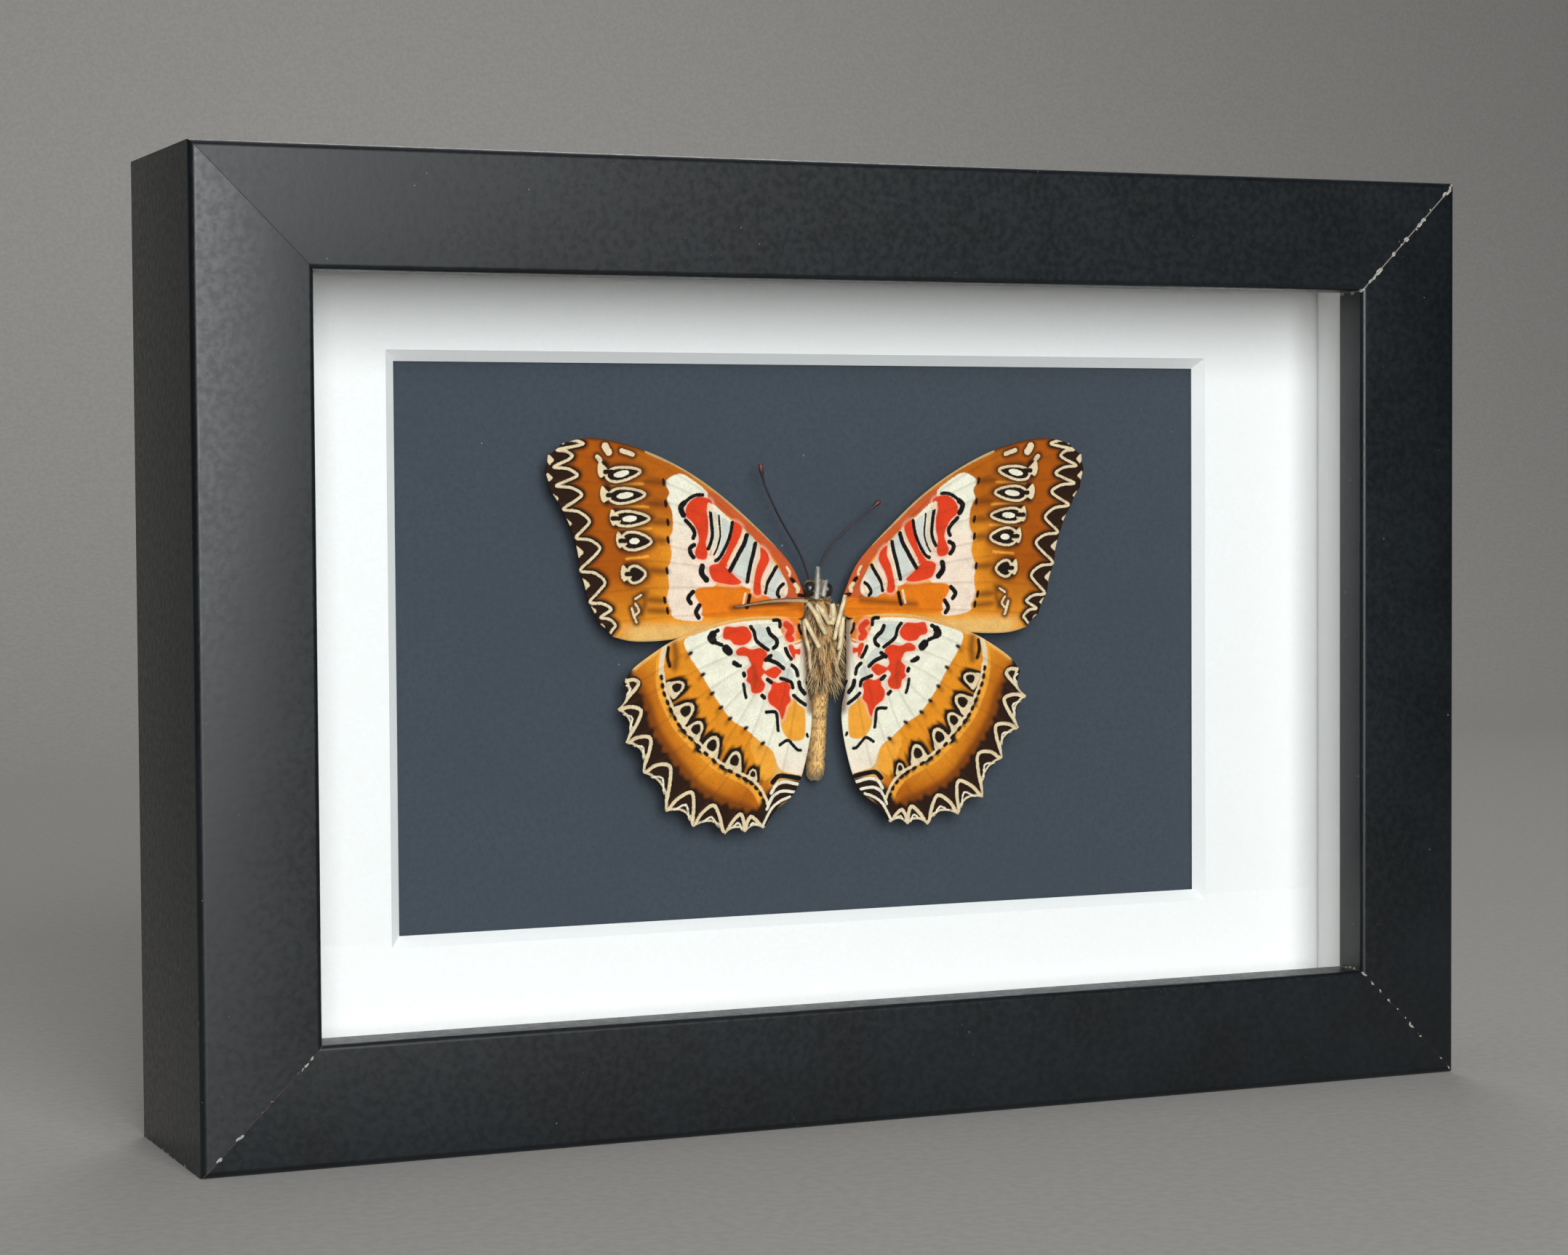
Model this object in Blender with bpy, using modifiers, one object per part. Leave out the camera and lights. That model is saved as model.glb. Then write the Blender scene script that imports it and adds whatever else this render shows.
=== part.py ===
"""Framed butterfly specimen: a red lacewing, underside out, in a black box frame.

Metres, +Z up.  The frame stands on its bottom rail and its front faces -Y.
The origin is at the middle of the underside, half way through the frame's depth.
"""

import math

import bmesh
import bpy
from mathutils import Matrix, Vector

MM = 0.001

# Frame: four mitred rails of one L-shaped moulding.
FRAME_WIDTH = 176.6 * MM
FRAME_HEIGHT = 123.0 * MM
FRAME_DEPTH = 31.0 * MM
FACE_WIDTH = 15.0 * MM
LIP_DEPTH = 5.6 * MM
REBATE_STEP = 6.0 * MM
OUTER_ROUND = 0.9 * MM
SIGHT_ROUND = 0.7 * MM
BACK_ROUND = 0.5 * MM
ROUND_STEPS = 3

# Sheets in the rebate, from the front.
CLEARANCE = 0.3 * MM
GLASS_THICKNESS = 2.0 * MM
SPACER_LENGTH = 10.3 * MM
SPACER_THICKNESS = 1.6 * MM
MAT_THICKNESS = 1.4 * MM
CARD_THICKNESS = 0.8 * MM
BOARD_THICKNESS = 3.0 * MM
WINDOW_WIDTH = 115.6 * MM
WINDOW_HEIGHT = 72.9 * MM

# Flat points that hold the board in, half buried in slots in the rails.
TAB_WIDTH = 8.0 * MM
TAB_LENGTH = 13.0 * MM
TAB_POINT = 4.0 * MM
TAB_THICKNESS = 0.5 * MM
TAB_BURIED = 4.5 * MM
TAB_SPACING = 88.0 * MM

# Sawtooth hanger on the board, with its two nails.
HANGER_LENGTH = 42.0 * MM
HANGER_HEIGHT = 8.0 * MM
HANGER_THICKNESS = 0.8 * MM
HANGER_BRIDGE = 26.0 * MM
HANGER_RISE = 1.8 * MM
HANGER_DROP = 14.0 * MM
TEETH = 7
TOOTH_DEPTH = 1.6 * MM
NAIL_OFFSET = 17.2 * MM
NAIL_SHANK_RADIUS = 0.6 * MM
NAIL_SHANK_LENGTH = 3.2 * MM
NAIL_HEAD_RADIUS = 1.7 * MM
NAIL_HEAD_HEIGHT = 0.7 * MM

# Butterfly, set a few millimetres in front of the card.
WING_AXIS_X = 0.4 * MM
WING_ROOT_Z = 66.0 * MM
WING_THICKNESS = 0.26 * MM
FOREWING_DEPTH = 17.65 * MM
HINDWING_DEPTH = 17.05 * MM
OUTLINE_STEPS = 3
SCALLOP_STEPS = 4
LEG_RADIUS = 0.27 * MM
ANTENNA_RADIUS = 0.16 * MM
PALP_RADIUS = 0.3 * MM
TUBE_STEPS = 2

# Sizes that follow from those above.
SIGHT_WIDTH = FRAME_WIDTH - 2 * FACE_WIDTH
SIGHT_HEIGHT = FRAME_HEIGHT - 2 * FACE_WIDTH
WALL = FACE_WIDTH - REBATE_STEP
SHEET_WIDTH = FRAME_WIDTH - 2 * WALL - 2 * CLEARANCE
SHEET_HEIGHT = FRAME_HEIGHT - 2 * WALL - 2 * CLEARANCE
MIDDLE_Z = FRAME_HEIGHT / 2
GLASS_FRONT = LIP_DEPTH + CLEARANCE
SPACER_FRONT = GLASS_FRONT + GLASS_THICKNESS + CLEARANCE
MAT_FRONT = SPACER_FRONT + SPACER_LENGTH + CLEARANCE
CARD_FRONT = MAT_FRONT + MAT_THICKNESS + CLEARANCE
BOARD_FRONT = CARD_FRONT + CARD_THICKNESS + CLEARANCE
BOARD_BACK = BOARD_FRONT + BOARD_THICKNESS
TAB_FRONT = BOARD_BACK + CLEARANCE

# Wing outlines in millimetres: (out from the body's axis, up from the wing roots).
FOREWING_COSTA = [
    (2.9, 1.6), (5.0, 5.8), (10.0, 10.8), (15.0, 15.0), (20.0, 18.2),
    (25.0, 20.5), (30.0, 21.9), (33.5, 22.2), (36.7, 21.5),
]
FOREWING_MARGIN = [
    (38.6, 20.0), (39.0, 18.0), (38.4, 15.6), (36.8, 12.9), (35.2, 9.4),
    (34.4, 5.2), (33.3, 1.2), (31.9, -1.6), (30.0, -3.4),
]
FOREWING_REAR = [(27.0, -4.1), (22.0, -4.0), (16.0, -3.0), (9.0, -2.2), (4.0, -1.7), (2.9, -1.2)]
FOREWING_SCALLOP = 0.25
HINDWING_COSTA = [
    (2.9, -2.0), (6.0, -1.3), (10.5, -1.2), (15.0, -1.8), (19.0, -3.1),
    (22.0, -4.2), (25.0, -5.9), (27.4, -7.6), (28.8, -9.4),
]
HINDWING_MARGIN = [
    (29.8, -12.8), (28.6, -17.2), (26.2, -21.2), (23.2, -26.4),
    (19.4, -28.6), (14.8, -29.8), (11.8, -29.6), (9.2, -29.2),
]
HINDWING_REAR = [
    (7.5, -26.9), (5.4, -25.3), (4.0, -23.2), (3.0, -20.0), (2.3, -16.5),
    (2.2, -13.5), (2.8, -10.5), (2.9, -6.0),
]
HINDWING_SCALLOP = 1.3

# The body's stations in millimetres: (x, depth, z, radius), from tail to head.
BODY_STATIONS = [
    (-0.55, 18.9, 43.1, 0.45), (-0.55, 18.9, 43.5, 0.95), (-0.5, 18.8, 44.6, 1.25),
    (-0.4, 18.7, 47.5, 1.3), (-0.3, 18.6, 50.5, 1.25), (-0.15, 18.4, 53.2, 1.15),
    (0.0, 18.1, 55.4, 1.25), (0.1, 17.8, 57.2, 2.0), (0.1, 17.8, 59.5, 2.3),
    (0.1, 17.8, 62.5, 2.35), (0.0, 17.8, 65.0, 2.2), (-0.2, 17.7, 66.6, 1.6),
    (-0.3, 17.6, 67.3, 1.35), (-0.4, 17.5, 68.2, 1.75), (-0.5, 17.5, 69.2, 1.6),
    (-0.5, 17.5, 69.9, 0.8),
]

# Paths in millimetres: (x, depth, z).
LEG_PATHS = {
    "leg_left_fore": [(-0.7, 14.9, 63.0), (-2.0, 14.9, 65.0), (-3.1, 15.3, 66.6), (-4.2, 15.8, 66.9),
                      (-8.0, 16.6, 66.8), (-12.8, 16.9, 66.1)],
    "leg_left_middle": [(-0.1, 14.9, 63.4), (-0.9, 14.8, 64.8), (-1.5, 15.0, 66.2)],
    "leg_left_hind": [(-1.3, 14.9, 60.6), (-2.3, 15.1, 62.4), (-3.2, 15.9, 64.4)],
    "leg_right_fore": [(0.55, 14.8, 63.6), (0.6, 14.8, 65.0), (0.5, 15.1, 66.4)],
    "leg_right_middle": [(1.15, 14.8, 62.0), (1.4, 14.9, 64.4), (2.3, 15.7, 67.2)],
    "leg_right_hind": [(1.5, 15.0, 60.4), (2.0, 15.2, 62.6), (2.35, 15.6, 65.0)],
}
ANTENNA_PATHS = {
    "antenna_left": [(-1.0, 17.6, 70.9), (-2.9, 17.5, 73.8), (-5.3, 17.3, 77.8), (-7.6, 17.1, 82.6),
                     (-8.1, 17.1, 84.6)],
    "antenna_right": [(0.0, 17.6, 70.9), (2.3, 17.4, 74.3), (5.0, 17.2, 76.7), (7.9, 17.1, 79.0),
                      (9.3, 17.0, 80.2)],
}
CLUB_RADIUS = 0.36 * MM
PALP_PATHS = {
    "palp_left": [(-1.1, 15.4, 68.6), (-1.15, 15.2, 69.8), (-1.1, 15.2, 71.2)],
    "palp_right": [(-0.1, 15.4, 68.4), (0.1, 15.3, 69.2)],
}

PARTS = "framed_butterfly_specimen"
CUTTERS = "cutters"


def clear_scene():
    """Remove every object of the open scene."""
    for item in list(bpy.data.objects):
        bpy.data.objects.remove(item, do_unlink=True)


def collection(name):
    """Return the named collection, linked to the scene."""
    found = bpy.data.collections.get(name)
    if found is None:
        found = bpy.data.collections.new(name)
        bpy.context.scene.collection.children.link(found)
    return found


def material(name, colour, roughness, metallic=0.0):
    """Return a Principled material with one colour and finish."""
    mat = bpy.data.materials.new(name)
    mat.use_nodes = True
    shader = mat.node_tree.nodes["Principled BSDF"]
    shader.inputs["Base Color"].default_value = (*colour, 1.0)
    shader.inputs["Roughness"].default_value = roughness
    shader.inputs["Metallic"].default_value = metallic
    return mat


def add_object(name, data, finish=None, group=PARTS):
    """Link an object with this data to a collection, with its material."""
    item = bpy.data.objects.new(name, data)
    collection(group).objects.link(item)
    if finish is not None:
        data.materials.append(finish)
    return item


def mesh_object(name, shape, finish=None, group=PARTS):
    """Turn a bmesh into a linked object and free the bmesh."""
    bmesh.ops.recalc_face_normals(shape, faces=shape.faces)
    data = bpy.data.meshes.new(name)
    shape.to_mesh(data)
    shape.free()
    return add_object(name, data, finish, group)


def box_mesh(size, centre):
    """Return a bmesh box."""
    shape = bmesh.new()
    bmesh.ops.create_cube(shape, size=1.0)
    bmesh.ops.scale(shape, vec=size, verts=shape.verts)
    bmesh.ops.translate(shape, vec=centre, verts=shape.verts)
    return shape


def at_depth(depth):
    """Return the Y of a depth measured from the frame's front face."""
    return depth - FRAME_DEPTH / 2


def sheet_centre(front, thickness):
    """Return the centre of an upright sheet whose front is at a depth."""
    return Vector((0.0, at_depth(front + thickness / 2), MIDDLE_Z))


def cut(item, cutter):
    """Subtract a cutter, and keep it as a wire guide."""
    cutter.hide_render = True
    cutter.display_type = "WIRE"
    step = item.modifiers.new("cut_" + cutter.name, "BOOLEAN")
    step.operation = "DIFFERENCE"
    step.solver = "EXACT"
    step.object = cutter


def rounded(before, corner, after, radius):
    """Return points along the arc that rounds one right-angled corner."""
    into = (Vector(before) - Vector(corner)).normalized() * radius
    out = (Vector(after) - Vector(corner)).normalized() * radius
    centre = Vector(corner) + into + out
    points = []
    for step in range(ROUND_STEPS + 1):
        angle = math.pi / 2 * step / ROUND_STEPS
        points.append(centre - out * math.cos(angle) - into * math.sin(angle))
    return points


def rail_profile():
    """Return the moulding's section as (depth, inset) points."""
    corners = [
        ((0.0, 0.0), OUTER_ROUND),
        ((0.0, FACE_WIDTH), SIGHT_ROUND),
        ((LIP_DEPTH, FACE_WIDTH), 0.0),
        ((LIP_DEPTH, WALL), 0.0),
        ((FRAME_DEPTH, WALL), 0.0),
        ((FRAME_DEPTH, 0.0), BACK_ROUND),
    ]
    points = []
    for index, (corner, radius) in enumerate(corners):
        if radius == 0.0:
            points.append(Vector(corner))
            continue
        before = corners[index - 1][0]
        after = corners[(index + 1) % len(corners)][0]
        points.extend(rounded(before, corner, after, radius))
    return points


def rail(name, length, place, turn, finish):
    """Sweep the moulding along X, and mitre both ends."""
    shape = bmesh.new()
    section = [shape.verts.new((0.0, at_depth(p.x), p.y)) for p in rail_profile()]
    face = shape.faces.new(section)
    swept = bmesh.ops.extrude_face_region(shape, geom=[face])
    far_end = [v for v in swept["geom"] if isinstance(v, bmesh.types.BMVert)]
    joint = CLEARANCE / math.sqrt(2)
    for corner in section:
        corner.co.x = -(length / 2 - corner.co.z - joint)
    for corner in far_end:
        corner.co.x = length / 2 - corner.co.z - joint
    item = mesh_object(name, shape, finish)
    item.location = place
    item.rotation_euler = (0.0, turn, 0.0)
    return item


def build_rails(finish):
    """Make the four rails of the frame."""
    quarter = math.pi / 2
    half_width = FRAME_WIDTH / 2
    return {
        "bottom": rail("frame_rail_bottom", FRAME_WIDTH, (0, 0, 0), 0.0, finish),
        "top": rail("frame_rail_top", FRAME_WIDTH, (0, 0, FRAME_HEIGHT), math.pi, finish),
        "left": rail("frame_rail_left", FRAME_HEIGHT, (-half_width, 0, MIDDLE_Z), quarter, finish),
        "right": rail("frame_rail_right", FRAME_HEIGHT, (half_width, 0, MIDDLE_Z), -quarter, finish),
    }


def build_sheet(name, front, thickness, finish):
    """Make one rectangular sheet that fills the rebate."""
    size = (SHEET_WIDTH, thickness, SHEET_HEIGHT)
    return mesh_object(name, box_mesh(size, sheet_centre(front, thickness)), finish)


def build_mat(finish):
    """Make the mat and cut its window with 45 degree bevels."""
    mat = build_sheet("mat_board", MAT_FRONT, MAT_THICKNESS, finish)
    reach = 2 * CLEARANCE
    depth = MAT_THICKNESS + 2 * reach
    shape = box_mesh((1.0, depth, 1.0), (0, 0, 0))
    for corner in shape.verts:
        spread = reach + MAT_THICKNESS if corner.co.y < 0 else -reach
        corner.co.x = math.copysign(WINDOW_WIDTH / 2 + spread, corner.co.x)
        corner.co.z = math.copysign(WINDOW_HEIGHT / 2 + spread, corner.co.z)
    cutter = mesh_object("mat_window_cutter", shape, group=CUTTERS)
    cutter.location = sheet_centre(MAT_FRONT, MAT_THICKNESS)
    cut(mat, cutter)


def build_spacers(finish):
    """Make the four strips that hold the glass off the mat."""
    y = at_depth(SPACER_FRONT + SPACER_LENGTH / 2)
    strip = SPACER_THICKNESS
    side_height = SHEET_HEIGHT - 2 * strip - 2 * CLEARANCE
    side_x = (SHEET_WIDTH - strip) / 2
    end_z = (SHEET_HEIGHT - strip) / 2
    long_size = (SHEET_WIDTH, SPACER_LENGTH, strip)
    side_size = (strip, SPACER_LENGTH, side_height)
    mesh_object("spacer_top", box_mesh(long_size, (0, y, MIDDLE_Z + end_z)), finish)
    mesh_object("spacer_bottom", box_mesh(long_size, (0, y, MIDDLE_Z - end_z)), finish)
    mesh_object("spacer_left", box_mesh(side_size, (-side_x, y, MIDDLE_Z)), finish)
    mesh_object("spacer_right", box_mesh(side_size, (side_x, y, MIDDLE_Z)), finish)


def flat_outline(name, points, thickness, finish):
    """Make a flat plate from an outline drawn in X and Z."""
    data = bpy.data.curves.new(name, "CURVE")
    data.dimensions = "2D"
    data.fill_mode = "BOTH"
    data.extrude = thickness / 2
    loop = data.splines.new("POLY")
    loop.points.add(len(points) - 1)
    for point, (x, z) in zip(loop.points, points):
        point.co = (x, z, 0.0, 1.0)
    loop.use_cyclic_u = True
    item = add_object(name, data, finish)
    item.rotation_euler = (math.pi / 2, 0.0, 0.0)
    return item


def build_tabs(rails, finish):
    """Make the six flat points, each in a slot in its rail."""
    half = TAB_WIDTH / 2
    shoulder = TAB_LENGTH - TAB_POINT
    outline = [(-half, 0.0), (half, 0.0), (half, shoulder), (0.0, TAB_LENGTH), (-half, shoulder)]
    side_x = FRAME_WIDTH / 2 - WALL + TAB_BURIED
    end_z = MIDDLE_Z - WALL + TAB_BURIED
    places = [
        ("bottom", -TAB_SPACING / 2, MIDDLE_Z - end_z, 0.0),
        ("bottom", TAB_SPACING / 2, MIDDLE_Z - end_z, 0.0),
        ("top", -TAB_SPACING / 2, MIDDLE_Z + end_z, math.pi),
        ("top", TAB_SPACING / 2, MIDDLE_Z + end_z, math.pi),
        ("left", -side_x, MIDDLE_Z, math.pi / 2),
        ("right", side_x, MIDDLE_Z, -math.pi / 2),
    ]
    y = at_depth(TAB_FRONT + TAB_THICKNESS / 2)
    slot_depth = TAB_BURIED + CLEARANCE
    for number, (side, x, z, turn) in enumerate(places, start=1):
        tab = flat_outline("retaining_tab_%d" % number, outline, TAB_THICKNESS, finish)
        tab.location = (x, y, z)
        tab.rotation_euler = (math.pi / 2, turn, 0.0)
        size = (TAB_WIDTH + 2 * CLEARANCE, TAB_THICKNESS + 2 * CLEARANCE, 2 * slot_depth)
        centre = (0.0, 0.0, slot_depth - CLEARANCE)
        cutter = mesh_object("slot_cutter_%d" % number, box_mesh(size, centre), group=CUTTERS)
        cutter.location = (x, y, z)
        cutter.rotation_euler = (0.0, turn, 0.0)
        cut(rails[side], cutter)


def hanger_outline():
    """Return the hanger's outline, with its teeth along the lower edge."""
    half_length = HANGER_LENGTH / 2
    half_height = HANGER_HEIGHT / 2
    pitch = HANGER_BRIDGE * 0.8 / TEETH
    start = -pitch * TEETH / 2
    points = [(-half_length, half_height), (-half_length, -half_height)]
    for tooth in range(TEETH):
        points.append((start + pitch * tooth, -half_height))
        points.append((start + pitch * (tooth + 0.5), -half_height + TOOTH_DEPTH))
    points.append((start + pitch * TEETH, -half_height))
    points.append((half_length, -half_height))
    points.append((half_length, half_height))
    return points


def disc(name, radius, top_radius, length, centre, group=CUTTERS, finish=None):
    """Make a short round pin or cutter along Y."""
    shape = bmesh.new()
    bmesh.ops.create_cone(
        shape, cap_ends=True, segments=16, radius1=radius, radius2=top_radius, depth=length,
        matrix=Matrix.Translation(centre) @ Matrix.Rotation(-math.pi / 2, 4, "X"))
    return mesh_object(name, shape, finish, group)


def build_hanger(board, finish):
    """Make the sawtooth hanger, its nails and their holes in the board."""
    hanger_z = FRAME_HEIGHT - WALL - HANGER_DROP
    plate_front = at_depth(BOARD_BACK + CLEARANCE)
    shape = bmesh.new()
    outline = [shape.verts.new((x, 0.0, z)) for x, z in hanger_outline()]
    shape.faces.new(outline)
    half_bridge = HANGER_BRIDGE / 2
    ramp = HANGER_RISE
    for bend in (-half_bridge - ramp, -half_bridge, half_bridge, half_bridge + ramp):
        everything = list(shape.verts) + list(shape.edges) + list(shape.faces)
        bmesh.ops.bisect_plane(shape, geom=everything, plane_co=(bend, 0, 0), plane_no=(1, 0, 0))
    for corner in shape.verts:
        rise = (half_bridge + ramp - abs(corner.co.x)) / ramp
        corner.co.y = HANGER_RISE * min(max(rise, 0.0), 1.0)
    everything = list(shape.faces)
    solid = bmesh.ops.extrude_face_region(shape, geom=everything)
    moved = [v for v in solid["geom"] if isinstance(v, bmesh.types.BMVert)]
    bmesh.ops.translate(shape, vec=(0.0, HANGER_THICKNESS, 0.0), verts=moved)
    hanger = mesh_object("hanger_plate", shape, finish)
    hanger.location = (0.0, plate_front, hanger_z)

    plate_back = plate_front + HANGER_THICKNESS
    for side, sign in (("left", -1), ("right", 1)):
        x = sign * NAIL_OFFSET
        hole_radius = NAIL_SHANK_RADIUS + CLEARANCE
        hole_centre = Vector((x, plate_back - HANGER_THICKNESS, hanger_z))
        hole_length = 2 * NAIL_SHANK_LENGTH
        hole = disc("nail_hole_cutter_" + side, hole_radius, hole_radius, hole_length, hole_centre)
        cut(hanger, hole)
        cut(board, hole)
        nail_name = "hanger_nail_" + side
        build_nail(nail_name, x, plate_back + CLEARANCE, hanger_z, finish)


def build_nail(name, x, y, z, finish):
    """Turn a round-headed nail about its own axis, pointing into the board."""
    shape = bmesh.new()
    profile = [
        (0.0, NAIL_HEAD_HEIGHT),
        (NAIL_HEAD_RADIUS * 0.6, NAIL_HEAD_HEIGHT * 0.8),
        (NAIL_HEAD_RADIUS, 0.0),
        (NAIL_SHANK_RADIUS, 0.0),
        (NAIL_SHANK_RADIUS, -NAIL_SHANK_LENGTH * 0.7),
        (0.0, -NAIL_SHANK_LENGTH),
    ]
    points = [shape.verts.new((radius, 0.0, height)) for radius, height in profile]
    for first, second in zip(points, points[1:]):
        shape.edges.new((first, second))
    data = bpy.data.meshes.new(name)
    shape.to_mesh(data)
    shape.free()
    nail = add_object(name, data, finish)
    turn = nail.modifiers.new("turned", "SCREW")
    turn.steps = 16
    turn.render_steps = 16
    turn.use_merge_vertices = True
    turn.merge_threshold = 0.00001
    nail.location = (x, y, z)
    nail.rotation_euler = (-math.pi / 2, 0.0, 0.0)


def smooth_line(points, steps=OUTLINE_STEPS):
    """Return a smooth line through points, ends included."""
    padded = [points[0]] + list(points) + [points[-1]]
    line = []
    for a, b, c, d in zip(padded, padded[1:], padded[2:], padded[3:]):
        for step in range(steps):
            t = step / steps
            line.append(tuple(
                0.5 * (2 * q + (r - p) * t + (2 * p - 5 * q + 4 * r - s) * t * t
                       + (3 * q - p - 3 * r + s) * t ** 3)
                for p, q, r, s in zip(a, b, c, d)))
    line.append(tuple(points[-1]))
    return line


def scalloped_line(tips, sag):
    """Return a line through the margin's tips, hollowed between each pair."""
    line = []
    for (x1, z1), (x2, z2) in zip(tips, tips[1:]):
        length = math.hypot(x2 - x1, z2 - z1)
        hollow = sag * min(1.0, length / 5.0)
        for step in range(SCALLOP_STEPS):
            t = step / SCALLOP_STEPS
            dip = hollow * 4 * t * (1 - t)
            x = x1 + (x2 - x1) * t + (z2 - z1) / length * dip
            z = z1 + (z2 - z1) * t - (x2 - x1) / length * dip
            line.append((x, z))
    line.append(tips[-1])
    return line


def wing_outline(costa, margin, rear, sag):
    """Join the three edges of a wing into one closed outline."""
    line = smooth_line(costa)
    line += scalloped_line([costa[-1]] + margin, sag)[1:]
    line += smooth_line([margin[-1]] + rear)[1:]
    return line


def build_wings(forewing_finish, hindwing_finish):
    """Make the four wings as thin plates, the hindwings nearer the front."""
    forewing = wing_outline(FOREWING_COSTA, FOREWING_MARGIN, FOREWING_REAR, FOREWING_SCALLOP)
    hindwing = wing_outline(HINDWING_COSTA, HINDWING_MARGIN, HINDWING_REAR, HINDWING_SCALLOP)
    kinds = [
        ("forewing", forewing, FOREWING_DEPTH, forewing_finish),
        ("hindwing", hindwing, HINDWING_DEPTH, hindwing_finish),
    ]
    for kind, outline, depth, finish in kinds:
        for side, sign in (("left", -1), ("right", 1)):
            points = [(sign * out * MM, up * MM) for out, up in outline]
            wing = flat_outline(kind + "_" + side, points, WING_THICKNESS, finish)
            wing.location = (WING_AXIS_X, at_depth(depth), WING_ROOT_Z)


def tube(name, path, radii, finish):
    """Make a round limb along a path, its radius given at each point."""
    data = bpy.data.curves.new(name, "CURVE")
    data.dimensions = "3D"
    data.bevel_depth = 1.0
    data.bevel_resolution = TUBE_STEPS
    data.use_fill_caps = True
    line = data.splines.new("POLY")
    line.points.add(len(path) - 1)
    for point, (x, depth, z), radius in zip(line.points, path, radii):
        point.co = (x * MM, at_depth(depth * MM), z * MM, 1.0)
        point.radius = radius
    return add_object(name, data, finish)


def build_body(finish):
    """Make the head, thorax and abdomen as one piece."""
    path = [station[:3] for station in BODY_STATIONS]
    radii = [station[3] * MM for station in BODY_STATIONS]
    body = tube("butterfly_body", path, radii, finish)
    body.data.bevel_resolution = 2 * TUBE_STEPS


def build_limbs(leg_finish, antenna_finish, palp_finish):
    """Make the legs, antennae and palps."""
    for name, points in LEG_PATHS.items():
        path = smooth_line(points, 2)
        tube(name, path, [LEG_RADIUS] * len(path), leg_finish)
    for name, points in ANTENNA_PATHS.items():
        path = smooth_line(points, 3)
        stem = [ANTENNA_RADIUS] * (len(path) - 4)
        radii = stem + [CLUB_RADIUS * 0.7, CLUB_RADIUS, CLUB_RADIUS, ANTENNA_RADIUS]
        tube(name, path, radii, antenna_finish)
    for name, points in PALP_PATHS.items():
        path = smooth_line(points, 2)
        radii = [PALP_RADIUS] * (len(path) - 1) + [PALP_RADIUS / 2]
        tube(name, path, radii, palp_finish)


def build():
    """Build the whole framed specimen."""
    clear_scene()
    black = material("black_foil", (0.013, 0.014, 0.015), 0.42)
    glass = material("clear_glass", (0.9, 0.93, 0.92), 0.03)
    white = material("white_board", (0.85, 0.84, 0.81), 0.85)
    slate = material("slate_card", (0.058, 0.065, 0.085), 0.9)
    brown = material("hardboard", (0.19, 0.11, 0.06), 0.75)
    steel = material("zinc_plated_steel", (0.55, 0.55, 0.56), 0.35, 1.0)
    straw = material("body_hair", (0.50, 0.33, 0.17), 0.8)
    orange = material("forewing_scales", (0.62, 0.22, 0.03), 0.75)
    amber = material("hindwing_scales", (0.64, 0.28, 0.05), 0.75)
    chitin = material("leg_chitin", (0.60, 0.42, 0.22), 0.5)
    dark = material("antenna_chitin", (0.035, 0.018, 0.014), 0.5)
    cream = material("palp_hair", (0.66, 0.58, 0.46), 0.8)

    rails = build_rails(black)
    build_sheet("glass_pane", GLASS_FRONT, GLASS_THICKNESS, glass)
    build_spacers(white)
    build_mat(white)
    build_sheet("mount_card", CARD_FRONT, CARD_THICKNESS, slate)
    board = build_sheet("backing_board", BOARD_FRONT, BOARD_THICKNESS, brown)
    build_tabs(rails, steel)
    build_hanger(board, steel)
    build_body(straw)
    build_wings(orange, amber)
    build_limbs(chitin, dark, cream)


build()
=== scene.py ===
"""Framed butterfly specimen: finishes, wings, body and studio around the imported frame."""

import math

import bmesh
import bpy
import numpy as np
from mathutils import Matrix, Vector


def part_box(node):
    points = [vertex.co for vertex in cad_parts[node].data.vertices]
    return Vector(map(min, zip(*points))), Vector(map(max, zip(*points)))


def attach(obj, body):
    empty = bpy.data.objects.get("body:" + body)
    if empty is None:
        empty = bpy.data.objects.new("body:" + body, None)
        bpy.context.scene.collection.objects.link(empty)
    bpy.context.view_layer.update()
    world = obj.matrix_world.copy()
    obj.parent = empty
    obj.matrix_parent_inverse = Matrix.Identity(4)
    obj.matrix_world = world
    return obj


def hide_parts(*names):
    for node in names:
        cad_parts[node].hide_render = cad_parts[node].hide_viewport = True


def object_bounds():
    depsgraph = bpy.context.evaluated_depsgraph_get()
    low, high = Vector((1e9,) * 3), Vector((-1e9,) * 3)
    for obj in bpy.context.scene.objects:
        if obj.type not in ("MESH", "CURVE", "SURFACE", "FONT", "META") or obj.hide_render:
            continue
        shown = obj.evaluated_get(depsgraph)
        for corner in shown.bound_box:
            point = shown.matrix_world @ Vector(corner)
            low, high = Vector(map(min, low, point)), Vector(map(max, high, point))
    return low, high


bl_info = {
    "name": "Framed Butterfly Specimen",
    "version": (1, 0, 0),
    "blender": (4, 5, 0),
    "location": "3D View > Sidebar > Specimen",
    "description": "Builds the finishes and natural pieces of a framed butterfly specimen",
    "category": "Add Mesh",
}

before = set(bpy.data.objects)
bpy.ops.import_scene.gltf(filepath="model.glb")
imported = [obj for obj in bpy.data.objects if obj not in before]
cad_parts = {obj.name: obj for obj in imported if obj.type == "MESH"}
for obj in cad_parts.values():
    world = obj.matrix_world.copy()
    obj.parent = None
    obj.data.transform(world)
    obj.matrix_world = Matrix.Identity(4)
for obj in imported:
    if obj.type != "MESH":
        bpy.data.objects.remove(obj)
CAD_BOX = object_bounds()

MM = 0.001
SEED = 20

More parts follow.
